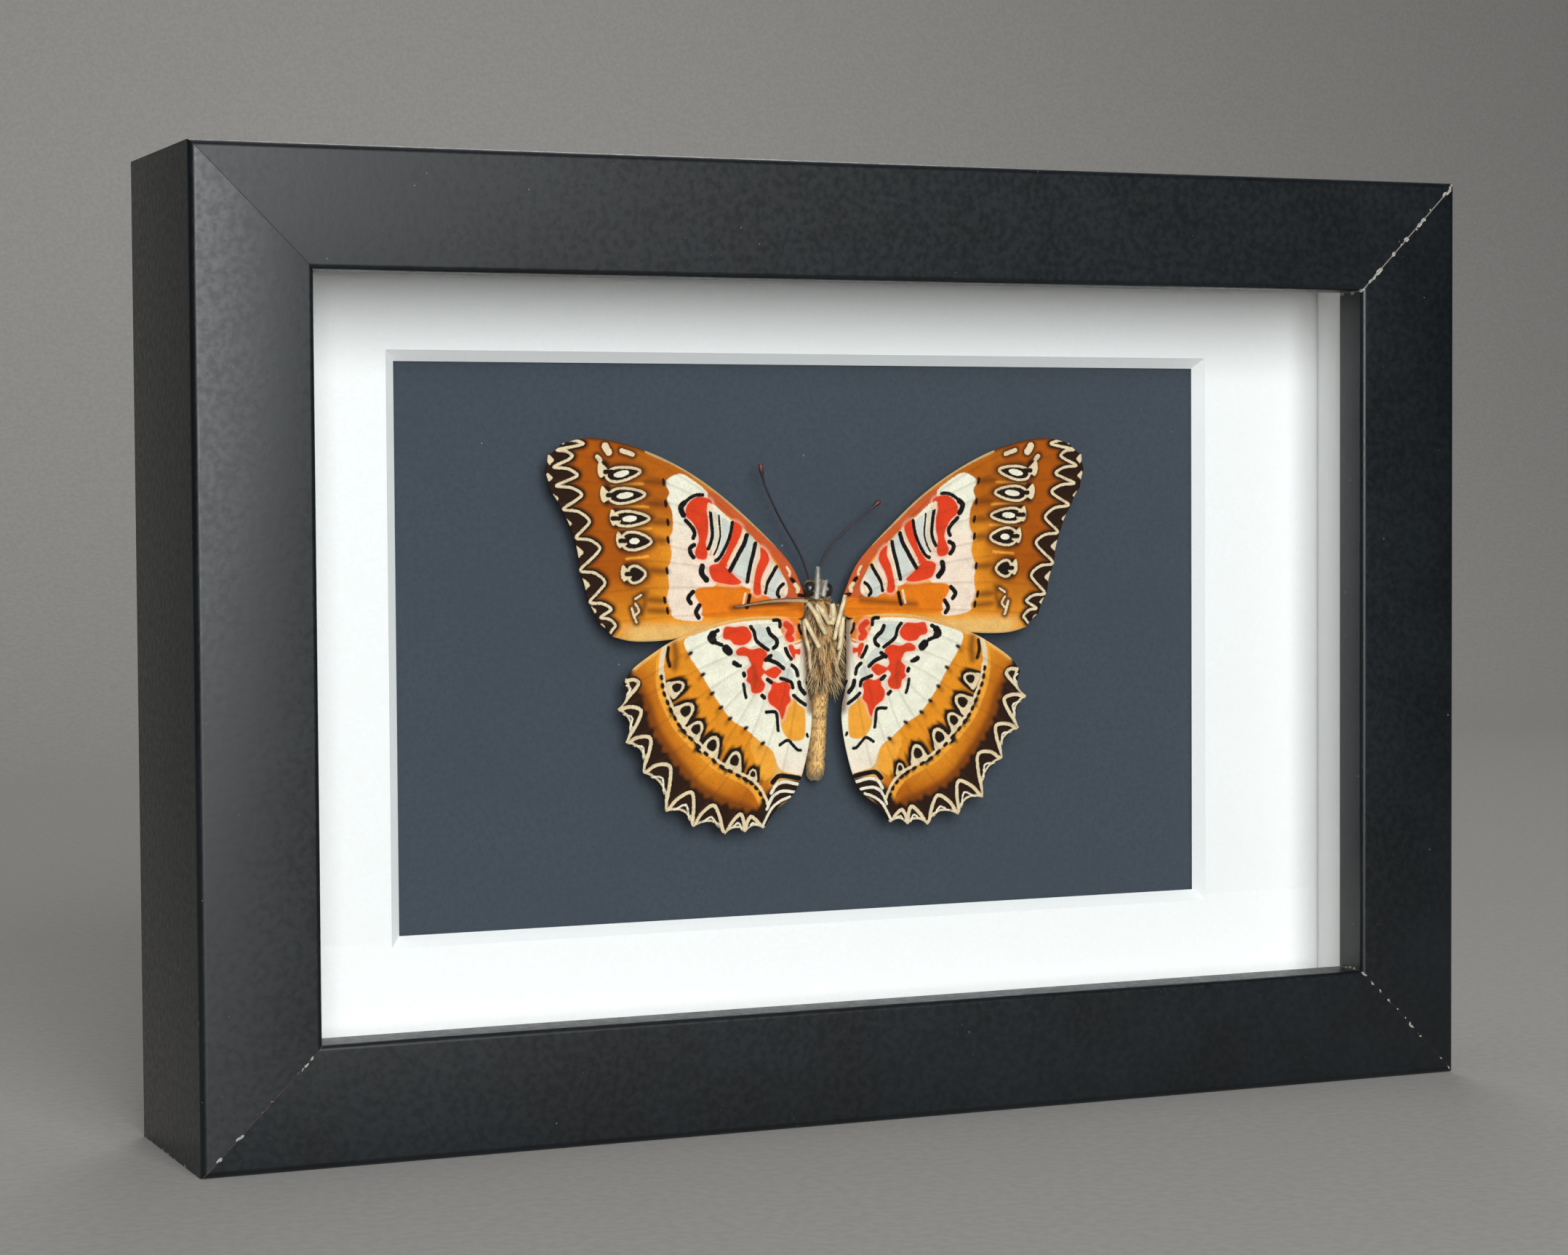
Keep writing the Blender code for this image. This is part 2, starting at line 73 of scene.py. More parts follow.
# The frame's own box gives every depth: the front face is the lowest Y.
FRONT_Y = CAD_BOX[0][1]
FOOT_Z = CAD_BOX[0][2]
FRAME_WIDTH = CAD_BOX[1][0] - CAD_BOX[0][0]
FRAME_HEIGHT = CAD_BOX[1][2] - CAD_BOX[0][2]
FRAME_DEPTH = CAD_BOX[1][1] - CAD_BOX[0][1]
FACE_WIDTH = 15.0 * MM
REBATE_WALL = 9.0 * MM
LIP_DEPTH = 5.6 * MM
WING_AXIS_X = 0.4 * MM
# The wings' roots stand this high above the frame's foot, in millimetres.
ROOT_HEIGHT = 66.0


def linear(code):
    """Turn an sRGB hex code into linear red, green and blue."""
    channels = [int(code[i:i + 2], 16) / 255 for i in (1, 3, 5)]
    return tuple(c / 12.92 if c <= 0.04045 else ((c + 0.055) / 1.055) ** 2.4 for c in channels)


# ---------------------------------------------------------------- materials

# A colour mix takes its share at input 0 and its two colours at inputs 6 and 7.
SHARE, UNDER, OVER = 0, 6, 7
COLOUR_MIX = {"data_type": "RGBA"}
EASED = {"interpolation_type": "SMOOTHSTEP"}


def new_material(name):
    """Return a material's tree with its Principled shader and its output."""
    mat = bpy.data.materials.new(name)
    mat.use_nodes = True
    tree = mat.node_tree
    tree.nodes.clear()
    output = tree.nodes.new("ShaderNodeOutputMaterial")
    shader = tree.nodes.new("ShaderNodeBsdfPrincipled")
    tree.links.new(shader.outputs["BSDF"], output.inputs["Surface"])
    return mat, tree, shader, output


def add(tree, kind, settings=None, links=None, give=None):
    """Add a node with its settings and links, and return one output, or else the one in use."""
    node = tree.nodes.new(kind)
    for key, value in (settings or {}).items():
        if isinstance(key, str) and hasattr(node, key):
            setattr(node, key, value)
        else:
            node.inputs[key].default_value = value
    for key, source in (links or {}).items():
        tree.links.new(source, node.inputs[key])
    return node.outputs[give] if give else [s for s in node.outputs if s.enabled][0]


def rgba(code):
    """Return a hex code or a linear colour as the four numbers that a socket holds."""
    return (*(linear(code) if isinstance(code, str) else code), 1.0)


def grained(tree, size, detail=2.0, roughness=0.55):
    """Fill the object's own space with grains of one real size, in metres."""
    settings = {"Scale": 1.0 / size, "Detail": detail, "Roughness": roughness}
    point = add(tree, "ShaderNodeTexCoord", give="Object")
    return add(tree, "ShaderNodeTexNoise", settings, {"Vector": point}, "Fac")


def tinted(tree, under, over, value, low, high, most=1.0):
    """Lay a colour over another wherever a value rises from low to high."""
    limits = {**EASED, "From Min": low, "From Max": high, "To Max": most}
    share = add(tree, "ShaderNodeMapRange", limits, {"Value": value})
    settings, links = {**COLOUR_MIX, OVER: rgba(over)}, {SHARE: share}
    if isinstance(under, bpy.types.NodeSocket):
        links[UNDER] = under
    else:
        settings[UNDER] = rgba(under)
    return add(tree, "ShaderNodeMix", settings, links)


def surfaced(tree, shader, colour, height, depth, strength, settings):
    """Give a shader its colour, its relief in metres and its numbers.

    A number given as (grain, low, high) follows the grain from low to high.
    """
    tree.links.new(colour, shader.inputs["Base Color"])
    relief = {"Distance": depth, "Strength": strength}
    normal = add(tree, "ShaderNodeBump", relief, {"Height": height})
    tree.links.new(normal, shader.inputs["Normal"])
    for key, value in settings.items():
        if isinstance(value, tuple):
            grain, low, high = value
            limits = {**EASED, "From Min": 0.3, "From Max": 0.7, "To Min": low, "To Max": high}
            varied = add(tree, "ShaderNodeMapRange", limits, {"Value": grain})
            tree.links.new(varied, shader.inputs[key])
        else:
            shader.inputs[key].default_value = value


def black_foil(settings):
    """Black paper foil wrapped on fibreboard: satin, faintly mottled, chipped at the mitres."""
    mat, tree, shader, _ = new_material("black_foil")
    colour = tinted(tree, "#070c0f", "#0d1317", grained(tree, 14.0 * MM), 0.35, 0.7)
    colour = tinted(tree, colour, "#7d8286", grained(tree, 0.5 * MM, 0.0), 0.86, 0.89, 0.4)
    point = add(tree, "ShaderNodeTexCoord", give="Object")
    axes = add(tree, "ShaderNodeSeparateXYZ", None, {"Vector": point}).node.outputs
    # A mitre runs where the point is as far from the side as from the top or the bottom.
    middle = FOOT_Z + FRAME_HEIGHT / 2
    outward = add(tree, "ShaderNodeMath", {"operation": "ABSOLUTE"}, {0: axes["X"]})
    rise = add(tree, "ShaderNodeMath", {"operation": "SUBTRACT", 1: middle}, {0: axes["Z"]})
    rise = add(tree, "ShaderNodeMath", {"operation": "ABSOLUTE"}, {0: rise})
    skew = add(tree, "ShaderNodeMath", {"operation": "SUBTRACT"}, {0: rise, 1: outward})
    half_difference = (FRAME_WIDTH - FRAME_HEIGHT) / 2
    skew = add(tree, "ShaderNodeMath", {"operation": "ADD", 1: half_difference}, {0: skew})
    off_mitre = add(tree, "ShaderNodeMath", {"operation": "ABSOLUTE"}, {0: skew})
    # The upper right mitre is worn all along; the upper left one is nearly whole.
    limits = {**EASED, "From Min": -MM, "From Max": MM}
    right = add(tree, "ShaderNodeMapRange", limits, {"Value": axes["X"]})
    limits = {**EASED, "From Min": middle - MM, "From Max": middle + MM}
    upper = add(tree, "ShaderNodeMapRange", limits, {"Value": axes["Z"]})
    left = add(tree, "ShaderNodeMath", {"operation": "SUBTRACT", 0: 1.0}, {1: right})
    worn = add(tree, "ShaderNodeMath", {"operation": "MULTIPLY"}, {0: right, 1: upper})
    sound = add(tree, "ShaderNodeMath", {"operation": "MULTIPLY"}, {0: left, 1: upper})
    share = add(tree, "ShaderNodeMath", {"operation": "MULTIPLY_ADD", 1: -0.8, 2: 1.0}, {0: sound})
    limits = {**EASED, "From Min": 0.52, "From Max": 0.64, "To Max": settings.chip_width}
    reach = add(tree, "ShaderNodeMapRange", limits, {"Value": grained(tree, 1.3 * MM)})
    reach = add(tree, "ShaderNodeMath", {"operation": "MULTIPLY"}, {0: reach, 1: share})
    reach = add(tree, "ShaderNodeMath", {"operation": "MULTIPLY_ADD", 1: 0.14 * MM}, {0: worn, 2: reach})
    chip = add(tree, "ShaderNodeMath", {"operation": "SUBTRACT"}, {0: reach, 1: off_mitre})
    colour = tinted(tree, colour, "#a5a29b", chip, 0.0, 0.10 * MM)
    grain = grained(tree, 0.9 * MM, 3.0)
    finish = {"Roughness": (grain, 0.33, 0.43), "IOR": 1.46}
    surfaced(tree, shader, colour, grain, 0.03 * MM, 0.25, finish)
    return mat


def raw_fibreboard():
    """Cut medium-density fibreboard: tan, dusty and quite matt."""
    mat, tree, shader, _ = new_material("raw_fibreboard")
    fibre = grained(tree, 0.6 * MM, 4.0, 0.7)
    colour = tinted(tree, "#8c6c4a", "#b08e68", fibre, 0.3, 0.7)
    surfaced(tree, shader, colour, fibre, 0.08 * MM, 0.6, {"Roughness": 0.9})
    return mat


def picture_glass():
    """Float glass: clear, smooth and faintly green, letting the lamps through to the mat."""
    mat, tree, shader, output = new_material("picture_glass")
    shader.inputs["Base Color"].default_value = rgba("#fdffff")
    shader.inputs["Roughness"].default_value = 0.0
    shader.inputs["IOR"].default_value = 1.5
    shader.inputs["Transmission Weight"].default_value = 1.0
    clear = add(tree, "ShaderNodeBsdfTransparent", {"Color": (0.95, 0.955, 0.955, 1.0)})
    rays = add(tree, "ShaderNodeLightPath").node.outputs
    lamps = add(tree, "ShaderNodeMath", {"operation": "MAXIMUM"},
                {0: rays["Is Shadow Ray"], 1: rays["Is Diffuse Ray"]})
    mix = add(tree, "ShaderNodeMixShader", None, {0: lamps, 1: shader.outputs["BSDF"], 2: clear})
    tree.links.new(mix, output.inputs["Surface"])
    return mat


def paper_board(name, face, shade, tooth, lint):
    """Cotton or wood-pulp board: matt, with a fine tooth of pressed fibres and some pale lint."""
    mat, tree, shader, _ = new_material(name)
    fibre = grained(tree, tooth, 4.0, 0.65)
    colour = tinted(tree, shade, face, fibre, 0.32, 0.68)
    colour = tinted(tree, colour, shade, grained(tree, 9.0 * MM), 0.3, 0.75, 0.35)
    colour = tinted(tree, colour, lint, grained(tree, 0.8 * MM, 0.0), 0.885, 0.90, 0.5)
    finish = {"Roughness": 0.88, "Specular IOR Level": 0.3}
    surfaced(tree, shader, colour, fibre, 0.04 * MM, 0.5, finish)
    return mat


def hardboard():
    """Pressed hardboard: warm brown, smooth with a fine dark and light fleck."""
    mat, tree, shader, _ = new_material("hardboard")
    fleck = grained(tree, 0.8 * MM, 5.0, 0.75)
    colour = tinted(tree, "#5e4029", "#8a6340", fleck, 0.3, 0.7)
    colour = tinted(tree, colour, "#6d4b30", grained(tree, 22.0 * MM), 0.3, 0.7, 0.4)
    surfaced(tree, shader, colour, fleck, 0.05 * MM, 0.5, {"Roughness": (fleck, 0.45, 0.62)})
    return mat


def zinc_plated_steel():
    """Stamped steel with bright zinc plating: silvery, with soft blue-grey crystal patches."""
    mat, tree, shader, _ = new_material("zinc_plated_steel")
    patch = grained(tree, 1.6 * MM, 3.0)
    colour = tinted(tree, "#a7abb0", "#c9cccf", patch, 0.35, 0.65)
    finish = {"Metallic": 1.0, "Roughness": (patch, 0.28, 0.42)}
    surfaced(tree, shader, colour, patch, 0.02 * MM, 0.4, finish)
    return mat


def wing_scales(settings):
    """Overlapping pigment scales: matt, each mark's edge broken by single scales."""
    mat, tree, shader, _ = new_material("wing_scales")
    # Real scales are 0.1 mm long; they are drawn at 0.2 mm so that their rows just show.
    rows = grained(tree, 0.2 * MM, 2.0, 0.6)
    ragged = add(tree, "ShaderNodeMath", {"operation": "MULTIPLY_ADD", 1: 0.22, 2: -0.11}, {0: rows})
    toast = add(tree, "ShaderNodeAttribute", {"attribute_name": "toast"}, give="Fac")
    peach = add(tree, "ShaderNodeAttribute", {"attribute_name": "peach"}, give="Fac")
    blush = add(tree, "ShaderNodeAttribute", {"attribute_name": "blush"}, give="Fac")
    ground = {**COLOUR_MIX, UNDER: rgba(settings.amber), OVER: rgba(settings.toast)}
    colour = add(tree, "ShaderNodeMix", ground, {SHARE: toast})
    edging = {**COLOUR_MIX, OVER: rgba(settings.peach)}
    colour = add(tree, "ShaderNodeMix", edging, {SHARE: peach, UNDER: colour})
    field = {**COLOUR_MIX, UNDER: rgba("#efead4"), OVER: rgba("#f3dcc6")}
    white = add(tree, "ShaderNodeMix", field, {SHARE: blush})
    # Each pigment: its mark's name, its colour, half the width of its soft edge in mm, its strength.
    for name, pigment, soft, strength in (
            ("tomato", settings.tomato, 0.15, 1.0), ("white", white, 0.10, 1.0),
            ("gold", settings.gold, 0.15, 1.0), ("orange", settings.orange, 0.12, 1.0),
            ("pale", settings.pale, 0.10, 1.0), ("red", settings.red, 0.10, 1.0),
            ("smudge", "#6b3408", 0.55, 0.8), ("umber", settings.umber, 0.42, 1.0),
            ("tan", "#c2a16c", 0.10, 1.0), ("brown", settings.brown, 0.14, 1.0),
            ("black", settings.black, 0.07, 1.0), ("cream", settings.cream, 0.07, 1.0),
            ("brown_top", settings.brown, 0.08, 1.0), ("cream_top", "#efe6cf", 0.06, 1.0)):
        depth = add(tree, "ShaderNodeAttribute", {"attribute_name": name}, give="Fac")
        if name == "red":
            colour = tinted(tree, colour, "#f2b9a0", depth, -0.60, -0.05, 0.55)
        edge = add(tree, "ShaderNodeMath", {"operation": "ADD"}, {0: depth, 1: ragged})
        if name == "white":
            limits = {**EASED, "From Min": -soft, "From Max": soft}
            share = add(tree, "ShaderNodeMapRange", limits, {"Value": edge})
            colour = add(tree, "ShaderNodeMix", COLOUR_MIX, {SHARE: share, UNDER: colour, OVER: pigment})
        else:
            colour = tinted(tree, colour, pigment, edge, -soft, soft, strength)
    vein = add(tree, "ShaderNodeAttribute", {"attribute_name": "vein"}, give="Fac")
    colour = tinted(tree, colour, "#5a3416", vein, -0.16, 0.04, 0.17)
    limits = {**EASED, "From Min": 0.3, "From Max": 0.75}
    cloud = add(tree, "ShaderNodeMapRange", {**limits, "To Min": 1.06, "To Max": 0.92},
                {"Value": grained(tree, 1.6 * MM, 3.0)})
    glint = add(tree, "ShaderNodeMapRange", {**limits, "To Min": 0.90, "To Max": 1.10}, {"Value": rows})
    shade = add(tree, "ShaderNodeMath", {"operation": "MULTIPLY"}, {0: cloud, 1: glint})
    colour = add(tree, "ShaderNodeVectorMath", {"operation": "SCALE"}, {"Vector": colour, "Scale": shade})
    finish = {"Roughness": 0.75, "Specular IOR Level": 0.06}
    surfaced(tree, shader, colour, rows, 0.03 * MM, 0.5, finish)
    return mat


def strands_by_tone(name, dark, light, gloss):
    """Hair or chitin whose tone runs from dark to light by a stored number, which on the body shell and
    the legs also carries painted shade.
    """
    mat, tree, shader, _ = new_material(name)
    tone = add(tree, "ShaderNodeAttribute", {"attribute_name": "tone"}, give="Fac")
    mottle = grained(tree, 0.5 * MM, 3.0)
    share = {**COLOUR_MIX, UNDER: rgba(dark), OVER: rgba(light)}
    colour = add(tree, "ShaderNodeMix", share, {SHARE: tone})
    colour = tinted(tree, colour, dark, mottle, 0.4, 0.75, 0.35)
    finish = {"Roughness": gloss, "Specular IOR Level": 0.35}
    surfaced(tree, shader, colour, mottle, 0.02 * MM, 0.4, finish)
    return mat


def eye_lacquer():
    """Compound eye: near black, glossy, with a fine honeycomb of facets."""
    mat, tree, shader, _ = new_material("eye_facets")
    point = add(tree, "ShaderNodeTexCoord", give="Object")
    facets = add(tree, "ShaderNodeTexVoronoi", {"Scale": 1 / (0.12 * MM)}, {"Vector": point}, "Distance")
    colour = tinted(tree, "#1a1412", "#0b0908", facets, 0.2, 0.6)
    surfaced(tree, shader, colour, facets, 0.02 * MM, 0.4, {"Roughness": 0.25})
    return mat


def studio_paper():
    """Seamless studio paper: pale warm grey and matt, with a faint tooth."""
    mat, tree, shader, _ = new_material("studio_paper")
    tooth = grained(tree, 1.5 * MM, 3.0)
    colour = tinted(tree, "#a09d99", "#a7a4a0", tooth, 0.3, 0.7)
    surfaced(tree, shader, colour, tooth, 0.05 * MM, 0.2, {"Roughness": 0.95})
    return mat


# ------------------------------------------------------------------ helpers


def link_mesh(name, data, materials, replaces=None):
    """Link a finished mesh as one piece that rides with the frame."""
    for mat in materials:
        data.materials.append(mat)
    piece = bpy.data.objects.new(name, data)
    bpy.context.scene.collection.objects.link(piece)
    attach(piece, "root")
    if replaces:
        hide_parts(*replaces)
    return piece


def finish_node(node, mat):
    """Give a carried-over node its finish."""
    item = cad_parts[node]
    item.data.materials.clear()
    item.data.materials.append(mat)


def smooth_line(points, steps=4):
    """Return a smooth line through points, ends included."""
    padded = [points[0]] + list(points) + [points[-1]]
    line = []
    for a, b, c, d in zip(padded, padded[1:], padded[2:], padded[3:]):
        for step in range(steps):
            line.append(curve_point(a, b, c, d, step / steps))
    line.append(tuple(points[-1]))
    return line


def smooth_loop(points, steps=4):
    """Return a smooth closed line through points."""
    line = []
    count = len(points)
    for i in range(count):
        a, b, c, d = points[i - 1], points[i], points[(i + 1) % count], points[(i + 2) % count]
        for step in range(steps):
            line.append(curve_point(a, b, c, d, step / steps))
    return line


def curve_point(a, b, c, d, t):
    """Return a point between b and c on the smooth curve through a, b, c and d."""
    return tuple(
        0.5 * (2 * q + (r - p) * t + (2 * p - 5 * q + 4 * r - s) * t * t
               + (3 * q - p - 3 * r + s) * t ** 3)
        for p, q, r, s in zip(a, b, c, d))


def nearest(where, line, closed=False):
    """Return each point's distance to a line, and the nearest point on it."""
    best = np.full(len(where), np.inf)
    spot = np.zeros_like(where)
    ends = line[1:] + line[:1] if closed else line[1:]
    for start, end in zip(line, ends):
        start = np.array(start)
        run = np.array(end) - start
        share = np.clip((where - start) @ run / max(run @ run, 1e-12), 0.0, 1.0)
        foot = start + share[:, None] * run
        gap = ((where - foot) ** 2).sum(axis=1)
        closer = gap < best
        best[closer] = gap[closer]
        spot[closer] = foot[closer]
    return np.sqrt(best), spot


def inside(where, line):
    """Return which points lie inside a closed line."""
    x, y = where[:, 0], where[:, 1]
    odd = np.zeros(len(where), dtype=bool)
    for (x1, y1), (x2, y2) in zip(line, line[1:] + line[:1]):
        if y1 != y2:
            odd ^= ((y1 > y) != (y2 > y)) & (x < (x2 - x1) * (y - y1) / (y2 - y1) + x1)
    return odd


# ------------------------------------------------------------- wing drawing
# A wing is drawn in millimetres, as (out from the insect's axis, height above
# the frame's foot). Its outline runs along the costa, round the tips of the
# margin and back along the rear edge. Each layer holds, at every vertex, the
# distance inside the nearest mark's edge.

FAR_OUTSIDE = -4.0


class Layer:
    """One pigment: the signed distance in millimetres to the edge of its marks."""

    def __init__(self, where):
        self.where = where
        self.value = np.full(len(where), FAR_OUTSIDE)

    def mark(self, line, half_width, closed=False, filled=False):
        """Add a mark: a line with some width on both sides, or the whole of a closed shape."""
        points = np.array(line)
        reach = half_width - FAR_OUTSIDE
        low, high = points.min(axis=0) - reach, points.max(axis=0) + reach
        rows = np.nonzero(((self.where > low) & (self.where < high)).all(axis=1))[0]
        gap, _ = nearest(self.where[rows], line, closed)
        if filled:
            gap[inside(self.where[rows], line)] *= -1
        self.value[rows] = np.maximum(self.value[rows], half_width - gap)

    def stroke(self, width, points):
        """Draw a line of one width."""
        self.mark(smooth_line(points), width / 2)

    def patch(self, points):
        """Draw a filled shape."""
        self.mark(smooth_loop(points), 0.0, closed=True, filled=True)

    def ring(self, width, points):
        """Draw a closed line of one width."""
        self.mark(smooth_loop(points), width / 2, closed=True)


def draw_marks(layers, patches, strokes):
    """Draw each pigment's filled shapes and its lines, each with its width."""
    for pigment, shapes in patches.items():
        for shape in shapes:
            layers[pigment].patch(shape)
    for pigment, lines in strokes.items():
        for width, line in lines:
            layers[pigment].stroke(width, line)


def oval(centre, half_length, half_width, tilt, point=0.0, steps=12):
    """Return the outline of an oval, drawn out to a point at its inner end."""
    turn = math.radians(tilt)
    points = []
    for step in range(steps):
        angle = 2 * math.pi * step / steps
        along = half_length * math.cos(angle)
        across = half_width * math.sin(angle) * (1.0 + point * math.cos(angle))
        x = centre[0] + along * math.cos(turn) - across * math.sin(turn)
        y = centre[1] + along * math.sin(turn) + across * math.cos(turn)
        points.append((x, y))
    return points


def scalloped_line(tips, sag, steps=8, full_gap=5.0):
    """Return a line through the margin's tips, hollowed between each pair, less where they are close."""
    line = []
    for (x1, y1), (x2, y2) in zip(tips, tips[1:]):
        length = math.hypot(x2 - x1, y2 - y1)
        hollow = sag * min(1.0, length / full_gap)
        for step in range(steps):
            t = step / steps
            dip = hollow * 4 * t * (1 - t)
            x = x1 + (x2 - x1) * t + (y2 - y1) / length * dip
            y = y1 + (y2 - y1) * t - (x2 - x1) / length * dip
            line.append((x, y))
    line.append(tips[-1])
    return line


class Forewing:
    """The forewing's outline and marks, in millimetres."""

    name = "forewing"
    moved_out = 0.4
    scallop = 0.25
    blush_below = 80.0
    costa = [
        (2.5, 67.6), (4.6, 71.8), (9.6, 76.8), (14.6, 81.0), (19.6, 84.2),
        (24.6, 86.5), (29.6, 87.9), (33.1, 88.2), (36.3, 87.5),
    ]
    margin = [
        (38.2, 86.0), (38.6, 84.0), (38.0, 81.6), (36.4, 78.9), (34.8, 75.4),
        (34.0, 71.2), (32.9, 67.2), (31.5, 64.4), (29.6, 62.6),
    ]
    rear = [(26.6, 61.9), (21.6, 62.0), (15.6, 63.0), (8.6, 63.8), (3.6, 64.3), (2.5, 64.8)]
    veins = [
        [(3.0, 67.0), (8.0, 73.0), (14.0, 79.2), (20.0, 83.2), (27.0, 86.6)],
        [(16.4, 80.0), (22.0, 82.4), (29.0, 85.0), (36.5, 86.5)],
        [(16.2, 78.0), (22.0, 80.0), (29.0, 82.3), (37.8, 82.8)],
        [(16.0, 76.0), (22.0, 77.6), (29.0, 79.3), (36.9, 79.8)],
        [(15.6, 73.0), (22.0, 74.3), (28.0, 76.0), (35.2, 76.2)],
        [(13.0, 70.6), (20.0, 71.9), (28.0, 72.5), (34.2, 72.0)],
        [(9.5, 68.4), (18.0, 68.8), (27.0, 68.7), (33.2, 67.9)],
        [(3.0, 65.6), (12.0, 65.4), (22.0, 65.0), (31.2, 64.4)],
        [(3.0, 66.4), (8.0, 68.6), (12.5, 70.4), (15.6, 73.0), (16.4, 77.0), (16.2, 80.0)],
    ]

    def ground(self, where):
        """Return how toasted, and how peach, the ground colour is at each vertex."""
        out, up = where[:, 0], where[:, 1]
        toast = np.clip((out - 21.0) / 6.0, 0.0, 1.0) * np.clip((up - 62.5) / 8.0, 0.15, 1.0)
        toast = np.maximum(toast, 0.88 * np.clip((up - 74.5) / 4.5, 0.0, 1.0))
        toast = np.maximum(toast, 0.75 * np.clip((out - 28.2) / 2.0, 0.0, 1.0) * (up > 64))
        toast *= 0.3 + 0.7 * np.clip((out - 14.0) / 6.0, 0.0, 1.0)
        peach = np.clip((64.6 - up) / 1.2, 0.0, 1.0) * np.clip((29.5 - out) / 3.0, 0.0, 1.0)
        return toast, peach

    def draw(self, layers):
        """Draw the discal band, cell bars, ovals, lacing and edges."""
        layers["white"].patch([
            (20.2, 83.6), (22.1, 82.6), (21.6, 81.2), (21.9, 80.2), (21.2, 78.6), (21.1, 76.4),
            (21.6, 75.0), (21.3, 73.0), (21.9, 71.0), (21.7, 69.0), (22.0, 67.2), (21.4, 66.0),
            (21.2, 65.0), (19.5, 64.5), (17.2, 64.4), (16.8, 65.6), (17.2, 66.6), (17.6, 68.0),
            (15.2, 69.0), (15.0, 71.0), (16.4, 72.0), (16.4, 74.0), (16.8, 78.0), (16.2, 80.6),
            (16.6, 81.5), (18.4, 82.8),
        ])
        self.draw_cell(layers)
        self.draw_patches(layers)
        self.draw_ovals(layers)
        self.draw_lacing(layers)

    def draw_patches(self, layers):
        """Draw the red and orange patches behind the cell, their black bites and a painted shadow along
        the wing's base.
        """
        layers["orange"].patch([
            (18.1, 68.0), (17.4, 68.7), (14.0, 68.8), (11.2, 68.7), (7.0, 67.2), (2.0, 66.8),
            (2.0, 64.6), (9.0, 65.0), (16.4, 64.8), (17.0, 66.0), (17.5, 66.8),
        ])
        # Painted shadow: a brown streak along the wing's base where the foreleg's shadow falls.
        layers["smudge"].stroke(0.7, [(5.0, 66.7), (8.0, 66.4), (12.9, 66.0)])
        layers["red"].patch([
            (11.5, 69.3), (12.8, 69.0), (15.0, 69.4), (15.6, 69.8), (16.0, 70.7), (15.9, 71.5),
            (15.0, 71.8), (14.2, 71.7), (13.3, 71.0), (12.6, 70.3),
        ])
        draw_marks(layers, {}, {"black": [
            (0.80, [(17.0, 71.5), (17.1, 70.6), (16.4, 69.7)]),
            (0.62, [(18.3, 68.2), (19.0, 67.4), (18.6, 66.7)]),
            (0.62, [(17.4, 66.4), (17.9, 65.5), (17.5, 64.8)]),
            (0.52, [(10.4, 67.6), (10.6, 66.6), (10.8, 66.0)]),
        ]})
        layers["cream"].stroke(0.32, [(11.0, 67.9), (11.2, 67.0), (11.4, 66.2)])
        for x, y in [(22.5, 82.5), (22.2, 79.7), (21.9, 77.3), (21.9, 75.0), (22.1, 71.0),
                     (22.4, 67.2), (22.0, 65.8)]:
            layers["black"].patch(oval((x - 0.1, y), 0.55, 0.22, 80))
            layers["smudge"].patch(oval((x + 1.2, y), 1.7, 0.45, 5))

    def draw_cell(self, layers):
        """Draw the banded bars across the discal cell."""
        layers["tomato"].patch([
            (16.4, 81.6), (17.2, 80.4), (15.0, 79.0), (12.0, 77.2), (9.0, 74.4), (6.4, 71.8),
            (5.6, 69.4), (6.2, 67.4), (10.4, 67.2), (10.8, 66.2), (2.0, 65.8), (1.6, 67.6),
            (3.6, 70.8), (6.0, 73.8), (11.0, 78.4),
        ])
        layers["white"].patch([
            (15.8, 79.7), (13.0, 77.6), (10.6, 75.8), (7.6, 72.8), (6.0, 70.8), (4.9, 68.8),
            (5.4, 67.2), (8.6, 67.0), (10.6, 67.6), (11.2, 68.8), (15.6, 71.0), (16.6, 73.0),
            (16.4, 77.0),
        ])
        reds = [
            [(16.0, 80.3), (17.5, 80.6), (18.7, 80.0), (19.3, 79.0), (19.2, 78.0), (18.4, 77.3),
             (17.7, 76.2), (17.4, 75.0), (17.7, 74.2), (18.0, 73.2), (17.6, 72.5), (16.5, 72.4),
             (16.2, 73.3), (16.4, 74.6), (16.1, 76.0), (16.1, 77.6), (16.4, 79.0), (15.6, 79.7)],
            [(11.4, 76.6), (11.5, 75.5), (12.2, 74.0), (13.0, 72.7), (13.5, 71.4), (14.6, 71.8),
             (14.3, 72.4), (13.6, 73.4), (13.1, 74.8), (12.7, 76.0), (12.5, 77.3)],
            [(7.9, 73.3), (8.8, 73.9), (8.8, 72.6), (9.3, 71.4), (9.7, 69.8), (9.9, 68.3),
             (9.5, 67.6), (8.7, 67.8), (8.8, 69.0), (8.5, 70.2), (7.9, 71.3), (7.5, 72.2)],
        ]
        pales = [
            [(14.8, 78.2), (15.4, 78.6), (15.3, 77.0), (15.2, 75.3), (15.5, 74.2), (15.0, 73.9),
             (14.7, 75.3), (14.8, 77.0)],
            [(13.3, 77.4), (14.2, 77.8), (14.1, 75.8), (14.3, 74.3), (14.9, 72.9), (14.1, 73.5),
             (13.5, 75.2), (13.1, 76.5)],
            [(9.9, 75.2), (10.5, 75.4), (10.9, 74.0), (11.6, 72.7), (12.3, 71.4), (12.9, 70.5),
             (12.0, 69.8), (10.9, 69.0), (10.9, 70.2), (10.5, 71.6), (10.1, 73.0), (9.8, 74.2)],
            [(6.1, 71.0), (6.8, 70.1), (7.6, 68.8), (7.8, 67.6), (6.9, 67.0), (6.4, 67.8),
             (6.3, 69.0), (5.7, 69.8)],
        ]
